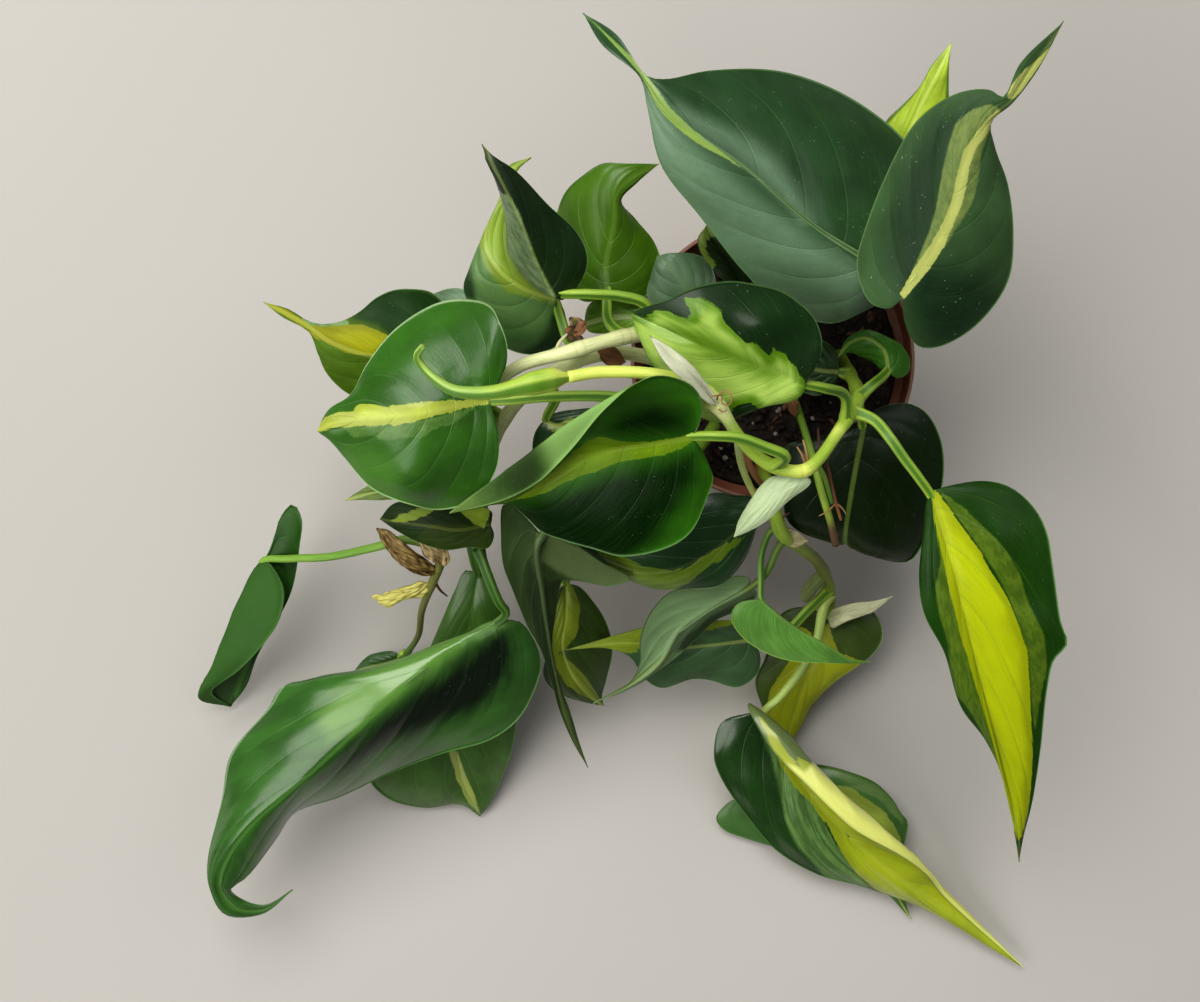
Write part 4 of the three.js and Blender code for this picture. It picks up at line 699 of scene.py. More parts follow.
# What lies on the soil: how many grains, their radii, how they are stretched, how far out they lie, and
# their skin's two colours, scale and roughness. Each kind has GRAIN_FORMS forms of GRAIN_CORNERS corners.
GRAIN_CORNERS = 26
GRAIN_FORMS = 7
GRAINS = {
    "soil_crumbs": {
        "count": 900, "size": (0.5, 1.7), "spread": 46, "smoothed": True,
        "stretches": [(1, 0.8, 0.7), (1.3, 0.8, 0.6), (1, 1, 0.8)],
        "look": ((0.010, 0.006, 0.004), (0.045, 0.026, 0.015), 300.0, 0.9),
    },
    "soil_perlite": {
        "count": 60, "size": (0.6, 1.5), "spread": 45, "smoothed": False,
        "stretches": [(1, 0.9, 0.8), (1.1, 0.8, 0.9)],
        "look": ((0.20, 0.175, 0.14), (0.40, 0.36, 0.30), 500.0, 0.85),
    },
    "soil_bark": {
        "count": 90, "size": (1.3, 3.4), "spread": 45, "smoothed": False,
        "stretches": [(1.5, 0.55, 0.28), (1.2, 0.7, 0.3), (1.8, 0.4, 0.25)],
        "look": ((0.045, 0.022, 0.011), (0.16, 0.085, 0.042), 260.0, 0.8),
    },
}

# The scraps' pale and dark colour and their roughness.
SCRAP_LOOK = ((0.26, 0.12, 0.05), (0.10, 0.045, 0.02), 0.75)

# The floor, the light from all round, and the lamps in metres: place, width, height, power and colour. All
# lamps face the same point.
SKY_COLOUR = (0.95, 0.97, 1.0, 1)
SKY_POWER = 0.11
FLOOR_SIZE = 8
FLOOR_COLOURS = ((0.42, 0.40, 0.37), (0.46, 0.44, 0.41))
LIT = (-0.06, -0.04, 0.08)
LAMPS = {
    "sky": ((-0.40, 0.60, 1.35), 1.1, 1.0, 20, (1.0, 0.99, 0.97)),
    "window": ((-1.05, -0.50, 1.15), 1.5, 1.0, 14, (1.0, 0.98, 0.95)),
    "room": ((0.8, 0.2, 1.4), 1.0, 1.0, 3, (0.95, 0.97, 1.0)),
}


def patch(line, side=None, within=1.0):
    """A patch's outline in the view, kept to one half of the blade and to a share of its width."""
    return {"line": line, "side": side, "within": within}


# How each leaf is coloured. zones are the patches of another colour, each outlined in the view from above.
# Some of them are painted shade, sheen or light, as said at each leaf.
LOOKS = {
    "leaf_upper_left": {
        "base": (0.013, 0.044, 0.012), "dust": 0.03, "specks": 0.5, "coat": 0.2, "gloss": 0.36,
        "jag": 0.4, "rib": 0.45, "veins": 0.14, "lime": (0.3, 0.45, 0.08), "under": (0.2, 0.27, 0.12),
        "mid": (0.13, 0.222, 0.128), "blend": 12.0, "ribbon": (0.17, 0.29, 0.09), "ribbing": 0.7,
        "relief": 1.3, "mottle": 0.1,
        "swells": [(700, 190, 12, 1.0), (770, 240, 14, -0.9), (800, 130, 16, 0.9), (720, 110, 11, -0.7)],
        "zones": {
            # The mid patches are dust and painted sheen: the paler lower-left half, and a painted satin band
            # beside the midrib.
            "mid": [
                patch([(652, 92), (640, 100), (648, 150), (672, 200), (725, 262), (790, 322), (850, 330),
                    (872, 280), (858, 262), (815, 240), (768, 205), (720, 165), (690, 138), (665, 110)]),
                patch([(676, 108), (700, 117), (736, 134), (770, 160), (792, 190), (808, 222), (800, 226),
                    (784, 196), (760, 170), (730, 146), (700, 128)]),
            ],
            "lime": [patch([(592, 20), (613, 39), (632, 57), (646, 75), (655, 87), (669, 107), (687, 124),
                (705, 139), (722, 152), (746, 170), (722, 157), (700, 145), (680, 130), (662, 113),
                (654, 100), (647, 87), (641, 76), (630, 62), (612, 43)])],
        },
    },
    "leaf_upper_right": {
        # The brighter base, left showing on the right half, is painted sheen there.
        "base": (0.033, 0.072, 0.024), "dust": 0.03, "specks": 0.5, "coat": 0.0, "gloss": 0.5, "jag": 0.3,
        "rib": 0.1, "veins": 0.1, "deep": (0.007, 0.026, 0.008), "soft": 9.0, "shine": 0.14,
        "keel": (0.5, 0.54, 0.16), "sunk": 2.0, "lime": (0.52, 0.56, 0.16), "mid": (0.16, 0.21, 0.055),
        "under": (0.3, 0.4, 0.14),
        "zones": {
            "lime": [
                patch([(900, 294), (914, 269), (931, 244), (944, 220), (952, 199), (957, 176), (963, 152),
                    (973, 137), (984, 123), (998, 108), (1001, 113), (988, 132), (975, 148), (969, 166),
                    (966, 186), (961, 206), (953, 224), (944, 246), (930, 268), (915, 286), (904, 299)]),
                patch([(1006, 98), (1012, 84), (1022, 71), (1036, 61), (1051, 46), (1060, 28), (1057, 44),
                    (1046, 56), (1038, 68), (1029, 80), (1021, 92), (1012, 100)]),
            ],
            "mid": [patch([(992, 104), (972, 110), (957, 122), (949, 145), (943, 170), (938, 198),
                (932, 224), (922, 250), (911, 274), (930, 262), (946, 244), (960, 222), (973, 200),
                (979, 172), (981, 150), (990, 132), (1004, 112)])],
            # The deep patch is painted shade over the left half and the lower end.
            "deep": [patch([(992, 104), (930, 116), (898, 170), (884, 220), (880, 262), (898, 302),
                (930, 350), (965, 350), (1000, 300), (985, 270), (940, 262), (944, 225), (950, 180),
                (962, 130)])],
        },
    },
    "leaf_back_pale": {
        "base": (0.26, 0.36, 0.02), "dust": 0.02, "gloss": 0.38, "edge": (0.03, 0.1, 0.015),
        "edging": 0.84, "vein": (0.55, 0.62, 0.16), "under": (0.4, 0.5, 0.1),
    },
    "leaf_back_young": {
        "base": (0.005, 0.013, 0.002), "gloss": 0.4, "lime": (0.14, 0.2, 0.03), "coat": 0.0, "rib": 0.0,
        "dust": 0.0, "keel": (0.03, 0.06, 0.008),
        "zones": {"lime": [patch([(697, 240), (700, 226), (713, 224), (716, 236), (707, 240), (706, 250),
            (716, 264), (712, 270), (699, 256)])]},
    },
    "leaf_back_round": {"base": (0.05, 0.1, 0.046), "dust": 0.15, "gloss": 0.42, "rib": 0.05},
    "leaf_middle": {
        "base": (0.004, 0.021, 0.003), "gloss": 0.24, "jag": 1.3, "rib": 0.05, "veins": 0.08,
        "coat": 0.35, "lime": (0.43, 0.6, 0.13), "lime_low": (0.1, 0.22, 0.003), "shine": 0.25,
        "sink": 0.9, "soft": 4.0, "vein": (0.1, 0.2, 0.04), "under": (0.34, 0.46, 0.16), "specks": 0.4,
        "relief": 0.12, "threads": 0.12,
        "swells": [(765, 325, 8, 2.0), (790, 345, 7, -1.0), (715, 385, 12, 0.8)],
        "zones": {
            # The deep patch is painted shade: a dark band along the upper side of the midrib, which sink also
            # lays over the lime.
            "deep": [patch([(650, 326), (672, 322), (700, 328), (730, 342), (756, 356), (784, 374),
                (770, 380), (740, 370), (712, 358), (690, 344), (668, 336)])],
            "lime": [patch([(626, 311), (645, 318), (656, 310), (668, 310), (679, 316), (692, 318),
                (689, 307), (683, 297), (700, 297), (713, 304), (722, 311), (725, 322), (737, 333),
                (746, 340), (754, 340), (762, 350), (770, 357), (773, 342), (777, 351), (787, 356),
                (797, 368), (806, 384), (804, 398), (792, 405), (764, 412), (750, 402), (738, 403),
                (728, 414), (722, 430), (698, 422), (670, 398), (650, 372), (638, 345), (628, 320)])],
        },
    },
    "leaf_centre": {
        "base": (0.03, 0.118, 0.006), "deep": (0.002, 0.013, 0.001), "jag": 0.7,
        "soft": 7.0, "dust": 0.0, "hatch": 0.07, "rib": 0.1, "veins": 0.08, "vein": (0.06, 0.18, 0.03),
        "lime": (0.16, 0.27, 0.006), "coat": 0.0, "relief": 0.6, "shine": 0.1,
        "swells": [(660, 490, 12, 0.6), (695, 500, 7, 0.6)], "under": (0.34, 0.52, 0.18),
        "zones": {
            "lime": [patch([(694, 434), (680, 437), (650, 441), (620, 441), (602, 435), (588, 440),
                (572, 452), (556, 468), (538, 484), (515, 500), (545, 492), (562, 484), (581, 476),
                (605, 468), (620, 461), (645, 458), (662, 455), (680, 449), (693, 441)], within=0.5)],
            # The deep patches are painted shade over the leaf's dark green: on the left half, beside the
            # midrib near the base and over the roll's far end. The brighter base that is left stands for a
            # soft reflection.
            "deep": [
                patch([(700, 446), (660, 459), (610, 470), (560, 488), (500, 504), (500, 545), (560, 575),
                    (620, 575), (655, 545), (682, 510), (700, 480)], "left"),
                patch([(694, 436), (660, 438), (620, 438), (600, 432), (622, 408), (655, 398),
                    (690, 412)], "right", 0.6),
                patch([(400, 560), (430, 470), (500, 410), (535, 420), (552, 470), (535, 530),
                    (470, 570)], "right"),
            ],
        },
    },
    "leaf_left_big": {
        "base": (0.024, 0.088, 0.006), "gloss": 0.25, "dust": 0.02, "jag": 1.1, "rib": 0.15, "veins": 0.3,
        "coat": 0.2, "vein": (0.11, 0.24, 0.07), "lime": (0.47, 0.54, 0.07), "mid": (0.1, 0.2, 0.04),
        "deep": (0.06, 0.17, 0.02), "soft": 5.0, "shine": 0.28, "relief": 1.0,
        "swells": [(418, 480, 10, 2.0), (372, 455, 6, -0.6), (470, 470, 9, -0.8)],
        "edge": (0.3, 0.42, 0.2), "edging": 0.975,
        "zones": {
            "lime": [patch([(316, 427), (326, 417), (340, 411), (352, 412), (361, 403), (375, 404),
                (390, 407), (412, 403), (432, 401), (455, 400), (490, 398), (488, 404), (470, 407),
                (450, 412), (430, 417), (410, 423), (390, 425), (360, 426), (335, 428), (318, 432)])],
            "mid": [patch([(343, 426), (400, 424), (430, 418), (460, 410), (476, 406), (458, 421),
                (437, 428), (420, 438), (402, 437), (388, 440), (370, 436), (354, 437)], "left")],
            # This deep patch is lighter than the base: painted light on the lower lobe round the blister and
            # along its lower edge.
            "deep": [patch([(330, 440), (372, 446), (400, 462), (398, 492), (424, 506), (450, 498),
                (466, 506), (440, 522), (392, 514), (352, 478)], "left")],
        },
    },
    "leaf_right_yellow": {
        "base": (0.008, 0.038, 0.002), "jag": 0.8, "rib": 0.12, "dust": 0.0,
        "shine": 0.22, "lime": (0.42, 0.49, 0.004), "mid": (0.1, 0.165, 0.012), "coat": 0.0,
        "swells": [(1000, 540, 9, 1.2), (1030, 600, 7, -1.2)], "vein": (0.12, 0.2, 0.04),
        "zones": {
            "lime": [patch([(930, 488), (934, 520), (944, 565), (954, 608), (964, 648), (974, 680),
                (983, 710), (994, 745), (1004, 790), (1012, 822), (1018, 840), (1022, 836), (1028, 812),
                (1031, 790), (1033, 750), (1030, 712), (1029, 680), (1027, 650), (1018, 624), (1008, 598),
                (992, 572), (979, 549), (964, 529), (950, 509), (938, 492)])],
            "mid": [
                patch([(933, 515), (940, 560), (936, 588), (939, 616), (950, 642), (952, 666), (956, 692),
                    (972, 714), (988, 745), (1002, 780), (1012, 800), (1000, 740), (984, 690), (968, 640),
                    (954, 590), (944, 545)]),
                patch([(938, 490), (958, 503), (984, 526), (1006, 552), (1018, 572), (1024, 592),
                    (1034, 612), (1044, 636), (1046, 664), (1041, 690), (1034, 730), (1031, 700),
                    (1028, 655), (1018, 620), (1004, 588), (984, 555), (958, 518)]),
            ],
        },
    },
    "leaf_right_dark": {
        "base": (0.0045, 0.013, 0.002), "rib": 0.7, "relief": 1.0, "dust": 0.01,
        "shine": 0.24, "ribbon": (0.15, 0.23, 0.04), "ribbing": 1.3, "veins": 0.12,
        "vein": (0.03, 0.07, 0.02),
    },
    "leaf_curly": {
        "base": (0.038, 0.135, 0.01), "gloss": 0.26, "rib": 0.4, "vein": (0.12, 0.28, 0.05),
        "under": (0.09, 0.17, 0.06),
    },
    "leaf_inner_dark": {"base": (0.016, 0.05, 0.008), "gloss": 0.35},
    "leaf_left_dark": {
        "base": (0.004, 0.016, 0.002), "gloss": 0.34, "jag": 0.7, "rib": 0.15, "veins": 0.25,
        "mid": (0.15, 0.22, 0.1), "vein": (0.06, 0.12, 0.05),
        "zones": {"mid": [patch([(498, 190), (510, 196), (520, 214), (528, 240), (536, 260), (546, 280),
            (556, 298), (540, 300), (522, 285), (508, 262), (498, 228), (490, 192)])]},
    },
    "leaf_left_yellow": {
        "base": (0.066, 0.15, 0.045), "jag": 0.8, "blend": 5.0, "bleed": 4.0, "rib": 0.3,
        "veins": 0.35, "lime": (0.26, 0.38, 0.04), "mid": (0.12, 0.22, 0.07),
        "deep": (0.01, 0.038, 0.008),
        "zones": {
            "lime": [patch([(534, 154), (506, 166), (494, 200), (484, 222), (480, 243), (484, 263),
                (494, 279), (508, 291), (530, 298), (554, 304), (556, 292), (535, 282), (520, 270),
                (508, 255), (505, 238), (508, 215), (520, 180)])],
            "mid": [patch([(470, 264), (478, 250), (484, 266), (494, 282), (510, 294), (530, 302),
                (546, 306), (546, 322), (532, 334), (500, 318), (478, 296)])],
            "deep": [
                patch([(557, 300), (551, 318), (547, 332), (536, 344), (520, 352), (535, 362), (575, 348),
                    (575, 310), (562, 296)]),
                patch([(458, 296), (461, 282), (468, 262), (474, 258), (477, 276), (475, 300)]),
            ],
        },
    },
    "leaf_left_green": {
        "base": (0.048, 0.118, 0.002), "gloss": 0.34, "rib": 0.3, "ribbon": (0.22, 0.36, 0.06),
        "ribbing": 1.3, "keel": (0.07, 0.15, 0.01), "veins": 0.6, "vein": (0.17, 0.31, 0.04),
        "under": (0.16, 0.27, 0.06),
    },
    "leaf_left_small": {
        "base": (0.13, 0.25, 0.02), "gloss": 0.32, "rib": 0.8, "ribbon": (0.45, 0.55, 0.25),
        "ribbing": 1.6,
    },
    "leaf_back_grey": {"base": (0.1, 0.17, 0.09), "gloss": 0.4, "rib": 0.1},
    "leaf_left_tiny": {"base": (0.12, 0.18, 0.04), "gloss": 0.45},
    "leaf_side_left": {
        "base": (0.013, 0.058, 0.003), "gloss": 0.5, "rib": 0.3, "veins": 0.2, "coat": 0.0,
        "ribbon": (0.1, 0.22, 0.05), "under": (0.035, 0.11, 0.012), "keel": (0.06, 0.16, 0.02),
        "petiole": (0.22, 0.38, 0.05),
    },
    "leaf_lower_tiny": {"base": (0.02, 0.06, 0.01)},
    "leaf_low_big": {
        "base": (0.028, 0.09, 0.013), "deep": (0.002, 0.007, 0.001), "gloss": 0.22, "rib": 0.5,
        "soft": 5.0, "coat": 0.62, "relief": 1.2, "petiole": (0.09, 0.19, 0.025),
        "keel": (0.11, 0.22, 0.035),
        "swells": [(330, 690, 12, 1.0), (400, 650, 12, -0.7), (262, 760, 10, -0.8)],
        "ribbon": (0.1, 0.24, 0.04), "ribbing": 1.5, "veins": 0.12, "vein": (0.06, 0.15, 0.04),
        "dust": 0.0, "jag": 3.0, "under": (0.09, 0.17, 0.05), "mid": (0.12, 0.25, 0.045), "blend": 9.0,
        "mottle": 0.0,
        "zones": {
            # The mid patch is a painted sunlit sheen along the upper side of the midrib.
            "mid": [patch([(506, 617), (474, 626), (442, 640), (411, 655), (380, 668), (340, 690),
                (316, 718), (330, 738), (356, 728), (380, 710), (411, 686), (442, 663), (474, 639),
                (506, 622)])],
            # The deep patch is painted shade over the lower half, which slopes away from the light.
            "deep": [patch([(500, 628), (470, 650), (430, 682), (390, 712), (350, 748), (318, 780),
                (340, 774), (400, 740), (450, 722), (490, 700), (510, 676), (516, 650),
                (510, 632)], "left")],
        },
    },
    "leaf_low_behind": {
        "base": (0.04, 0.095, 0.014), "rib": 0.2, "lime": (0.42, 0.5, 0.12), "jag": 0.8,
        "ribbon": (0.08, 0.16, 0.03), "keel": (0.04, 0.09, 0.012), "petiole": (0.09, 0.18, 0.025),
        "coat": 0.4, "relief": 0.4,
        "zones": {"lime": [patch([(449, 750), (457, 750), (465, 772), (474, 792), (480, 814), (468, 802),
            (457, 780)])]},
    },
    "leaf_far_left": {
        "base": (0.052, 0.104, 0.002), "gloss": 0.5, "dust": 0.0, "shine": 0.2, "jag": 0.9, "rib": 0.2,
        "veins": 0.3, "coat": 0.0, "lime": (0.32, 0.325, 0.002), "mid": (0.19, 0.3, 0.12),
        "deep": (0.006, 0.034, 0.001),
        "zones": {
            "lime": [
                patch([(306, 325), (325, 327), (345, 326), (360, 324), (378, 330), (394, 338), (384, 348),
                    (374, 357), (350, 353), (330, 345), (314, 336)]),
                patch([(262, 301), (285, 309), (308, 323), (306, 328), (286, 316), (264, 304)]),
            ],
            "mid": [patch([(300, 318), (320, 317), (345, 318), (352, 326), (325, 329), (306, 326)])],
            "deep": [patch([(352, 320), (366, 302), (392, 288), (430, 290), (452, 310), (446, 345),
                (400, 345), (378, 326)])],
        },
    },
    "leaf_behind_centre": {
        "base": (0.01, 0.036, 0.008), "gloss": 0.28, "lime": (0.32, 0.42, 0.05), "jag": 1.0,
        "zones": {"lime": [patch([(543, 421), (556, 424), (572, 418), (584, 424), (570, 434),
            (552, 431)])]},
    },
    "leaf_under_left": {
        "base": (0.009, 0.026, 0.001), "gloss": 0.4, "jag": 0.7, "shine": 0.2, "dust": 0.0, "rib": 0.1,
        "under": (0.03, 0.06, 0.008), "relief": 0.35, "veins": 0.1, "coat": 0.0, "specks": 0.0,
        "lime": (0.3, 0.42, 0.04), "vein": (0.08, 0.13, 0.02), "mid": (0.03, 0.055, 0.002),
        "zones": {
            "lime": [
                patch([(390, 521), (402, 514), (422, 508), (440, 507), (425, 516), (408, 522)]),
                patch([(460, 511), (476, 506), (491, 505), (489, 516), (484, 528), (474, 524)]),
            ],
            "mid": [patch([(410, 545), (430, 524), (470, 524), (492, 530), (492, 552), (440, 553)])],
        },
    },
    "leaf_hanging_back": {
        "base": (0.022, 0.044, 0.009), "deep": (0.01, 0.022, 0.004), "gloss": 0.45, "rib": 0.1,
        "coat": 0.0, "veil": 0.15, "veins": 0.5, "vein": (0.14, 0.2, 0.09),
        "under": (0.045, 0.075, 0.022), "jag": 0.5, "blend": 3.0, "mid": (0.13, 0.185, 0.07),
        "mottle": 0.1, "dust": 0.0, "shine": 0.2, "petiole": (0.1, 0.15, 0.05),
        "keel": (0.06, 0.095, 0.032),
        "zones": {
            "deep": [patch([(528, 560), (538, 575), (546, 620), (555, 660), (566, 705), (560, 708),
                (545, 665), (534, 625), (526, 590)])],
            "mid": [patch([(538, 528), (560, 538), (600, 556), (645, 580), (640, 600), (600, 592),
                (565, 575), (540, 560)])],
        },
    },
    "leaf_inner_yellow": {
        "base": (0.02, 0.04, 0.003), "gloss": 0.38, "jag": 0.5, "rib": 0.3, "lime": (0.19, 0.25, 0.006),
        "zones": {"lime": [patch([(566, 578), (574, 588), (580, 605), (578, 632), (566, 648), (558, 652),
            (572, 662), (586, 676), (604, 706), (588, 698), (566, 684), (554, 664), (551, 640),
            (556, 608)])]},
    },
    "leaf_under_centre": {
        "base": (0.007, 0.03, 0.006), "gloss": 0.24, "jag": 1.3, "rib": 0.05, "veins": 0.45,
        "lime": (0.14, 0.23, 0.006), "vein": (0.06, 0.15, 0.03), "coat": 0.25, "relief": 0.5,
        "zones": {"lime": [patch([(592, 545), (618, 553), (642, 566), (670, 571), (690, 566), (706, 555),
            (720, 546), (738, 537), (745, 535), (738, 546), (726, 553), (722, 562), (712, 563),
            (702, 572), (690, 582), (672, 590), (648, 589), (630, 582), (610, 566)])]},
    },
    "leaf_front_folded": {
        "petiole": (0.13, 0.18, 0.03), "slim": 0.75, "base": (0.16, 0.26, 0.12), "gloss": 0.36,
        "rib": 0.75, "ribbon": (0.26, 0.36, 0.14), "lime": (0.22, 0.34, 0.05),
        "deep": (0.01, 0.03, 0.006), "jag": 0.6, "veins": 0.3,
        "zones": {
            "lime": [patch([(590, 705), (625, 684), (645, 668), (668, 652), (675, 647), (662, 664),
                (642, 679), (618, 695)])],
            # The deep patch is painted shade over the right half, which turns away from the light.
            "deep": [patch([(757, 592), (735, 602), (706, 618), (686, 634), (674, 650), (690, 652),
                (720, 625), (750, 610)], "right")],
        },
    },
    "leaf_front_small": {
        "base": (0.115, 0.265, 0.045), "gloss": 0.4, "rib": 0.1, "veins": 0.3,
        "vein": (0.02, 0.09, 0.008), "edge": (0.34, 0.5, 0.1), "edging": 0.965, "relief": 0.7,
        "specks": 0.0, "hatch": 0.5, "slim": 0.66, "petiole": (0.26, 0.42, 0.09), "channel": 0.1,
    },
    "leaf_front_low": {
        "base": (0.04, 0.085, 0.032), "rib": 0.3, "jag": 0.8, "lime": (0.32, 0.42, 0.03),
        "vein": (0.14, 0.22, 0.1),
        "zones": {"lime": [
            patch([(560, 650), (582, 645), (605, 637), (625, 631), (648, 624), (644, 640), (636, 652),
                (605, 651)]),
            patch([(700, 632), (712, 622), (728, 617), (738, 624), (720, 628)]),
        ]},
    },
    "leaf_front_yellow": {
        "base": (0.04, 0.066, 0.01), "gloss": 0.35, "jag": 0.7, "rib": 0.1, "lime": (0.38, 0.42, 0.014),
        "keel": (0.3, 0.34, 0.03), "petiole": (0.12, 0.16, 0.025), "slim": 0.75,
        "zones": {"lime": [
            patch([(828, 622), (838, 652), (862, 660), (850, 672), (834, 684), (812, 706), (796, 740),
                (776, 738), (765, 715), (770, 690), (790, 660), (812, 640)]),
            patch([(786, 630), (800, 626), (814, 634), (806, 642), (790, 644), (772, 660), (776, 642)]),
        ]},
    },
    "leaf_front_right": {
        "base": (0.008, 0.034, 0.003), "gloss": 0.24, "jag": 1.0, "rib": 0.1, "veins": 0.2, "coat": 0.7,
        "dust": 0.0, "lime": (0.38, 0.45, 0.012), "mid": (0.13, 0.24, 0.065), "mottle": 0.2,
        "brushed": 0.5, "under": (1.0, 1.0, 0.34), "vein": (0.1, 0.22, 0.05),
        "deep": (0.05, 0.1, 0.03), "relief": 1.5, "blend": 2.0, "petiole": (0.5, 0.6, 0.17),
        "channel": 0.0,
        "swells": [(745, 790, 8, 1.2), (800, 830, 9, 1.2), (775, 745, 7, -0.9), (760, 840, 6, -0.6)],
        "zones": {
            "lime": [
                patch([(756, 712), (768, 724), (780, 742), (797, 764), (817, 787), (844, 812), (874, 836),
                    (905, 848), (932, 868), (952, 890), (987, 920), (1028, 970), (990, 956), (940, 922),
                    (905, 902), (880, 890), (856, 872), (838, 844), (826, 822), (811, 804), (794, 785),
                    (781, 765), (769, 742)]),
                patch([(796, 756), (812, 765), (832, 782), (868, 812), (906, 842), (905, 862), (850, 836),
                    (812, 800)], "left"),
            ],
            # The mid patch is painted sheen: a lighter grey-green with the base brushed into it in streaks
            # along the veins.
            "mid": [patch([(760, 718), (776, 746), (792, 774), (815, 804), (836, 846), (864, 880),
                (880, 894), (848, 890), (822, 872), (800, 846), (786, 820), (779, 790), (773, 762),
                (762, 735)], "right")],
            "deep": [patch([(738, 692), (760, 700), (790, 728), (816, 758), (806, 772), (780, 760),
                (754, 730)], "left")],
        },
    },
    "leaf_front_right_low": {
        "base": (0.045, 0.11, 0.025), "gloss": 0.34, "jag": 0.9, "lime": (0.34, 0.43, 0.07),
        "mid": (0.12, 0.2, 0.06), "vein": (0.12, 0.2, 0.06),
        "zones": {
            "lime": [patch([(824, 782), (852, 788), (866, 798), (886, 812), (902, 842), (892, 850),
                (868, 830), (846, 812), (826, 798)])],
            "mid": [patch([(815, 764), (860, 772), (900, 800), (905, 830), (880, 800), (850, 785)])],
        },
    },
}

# What a leaf has where its own look says nothing. base, deep, mid and lime are the greens of the plain skin
# and of the three kinds of patch, and lime_low the darker end of lime. On several leaves the deep patches are
# painted shade and the mid ones painted sheen. vein, ribbon, edge, under, petiole and keel are the colours of
# those parts. dust is the pale film, specks the grains of dust, gloss the roughness, coat and shine the two
# layers of gloss. rib and veins say how pale their lines are, ribbing how wide the midrib's is, hatch how
# clear the fine veins are, and edging where the pale margin starts. soft, blend and bleed widen the edges of
# the deep, mid and lime patches, and jag carries them along the veins. mottle and brushed bring the base into
# the mid patches, threads streaks the lime ones, sink darkens them with painted shade where deep ones
# overlie, and veil pales the lower face. relief scales the blade's relief, swells adds blisters and dents to
# it, and slim, sunk and channel shape the petiole: its width, its keel's depth and its groove.
PLAIN = {
    "base": GREEN, "deep": DEEP, "mid": GREY, "lime": LIME, "vein": BRIGHT, "ribbon": PALE,
    "under": UNDER, "dust": 0.012, "soft": 1.6, "gloss": 0.3, "rib": 0.35, "ribbing": 1.1, "veins": 0.4,
    "jag": 1.2, "edge": (0.1, 0.2, 0.06), "edging": 0.978, "blend": 1.0, "bleed": 1.0, "specks": 0.2,
    "coat": 0.15, "relief": 1.15, "veil": 0.55, "hatch": 0.05, "threads": 0.25, "mottle": 0.45,
    "brushed": 0.0, "sink": 0.0, "slim": 1.0, "sunk": 1.0, "shine": 0.36, "channel": CHANNEL,
    "swells": (), "petiole": STRAW, "keel": UNDER, "zones": {},
}

# Colours along each stem, as (share, colour).
STEM_TINTS = {
    "stem_main": [(0, STRAW), (0.45, STRAW), (0.46, SAP), (0.49, STRAW), (0.54, STRAW), (0.56, SAP),
        (0.6, STRAW), (0.7, STRAW), (0.745, IVORY), (0.79, SAP), (1, SAP)],
    "stem_left_a": [(0, IVORY), (0.52, IVORY), (0.62, OLIVE), (0.735, OLIVE), (0.75, UMBER),
        (0.77, OLIVE), (0.93, OLIVE), (1, BRIGHT)],
    "stem_left_b": [(0, IVORY), (0.7, IVORY), (0.85, STRAW), (1, BRIGHT)],
    "stem_low": [(0, STRAW), (1, BRIGHT)],
    "stem_front": [(0, RUST), (0.17, RUST), (0.22, STRAW), (0.35, STRAW), (0.5, OLIVE), (0.7, STRAW),
        (1, BRIGHT)],
    "stem_top": [(0, STRAW), (1, BRIGHT)],
    "stem_cut": [(0, BARK), (0.25, BARK), (0.4, BRIGHT), (0.86, STRAW), (0.93, BARK), (1, BARK)],
}

# Each sheath's pale and dark colour and, where they aren't the usual ones, its roughness and how browned
# it is.
SHEATH_LOOKS = {
    "sheath_main_upper": ((0.72, 0.73, 0.55), (0.54, 0.57, 0.36)),
    "sheath_main_lower": ((0.5, 0.6, 0.36), (0.3, 0.4, 0.2)),
    "sheath_front_dry": ((0.5, 0.47, 0.27), (0.3, 0.22, 0.1)),
    "sheath_front_flap": ((0.22, 0.28, 0.09), (0.1, 0.12, 0.04)),
    "sheath_front_node": ((0.62, 0.64, 0.42), (0.4, 0.38, 0.2)),
    "sheath_left_brown": ((0.42, 0.29, 0.08), (0.035, 0.016, 0.008), 0.6, 0.95),
    "sheath_left_dry": ((0.56, 0.47, 0.22), (0.16, 0.06, 0.02), 0.6, 0.8),
    "sheath_left_yellow": ((0.6, 0.57, 0.17), (0.34, 0.3, 0.05), 0.6, 0.7),
}


def seen(place):
    """A place in the view that the tables are written in, as x, y and z in millimetres."""
    across, down, height = place
    scale = (VIEW_HEIGHT - height) / VIEW_FOCUS
    return (
        (across - VIEW_CENTRE[0]) * scale + VIEW_OVER[0],
        (VIEW_CENTRE[1] - down) * scale + VIEW_OVER[1],
        height,
    )


def viewed(points):
    """Where points, in millimetres, lie in that view."""
    scale = VIEW_FOCUS / (VIEW_HEIGHT - points[:, 2])
    across = (points[:, 0] - VIEW_OVER[0]) * scale + VIEW_CENTRE[0]
    down = VIEW_CENTRE[1] - (points[:, 1] - VIEW_OVER[1]) * scale
    return np.stack([across, down], axis=1)


def unit(vectors):
    return vectors / np.maximum(np.linalg.norm(vectors, axis=-1, keepdims=True), TINY)


def smooth(value, low, high):
    """0 up to low, 1 from high on, and a smooth rise between them."""
    share = np.clip((value - low) / (high - low), 0, 1)
    return share * share * (3 - 2 * share)


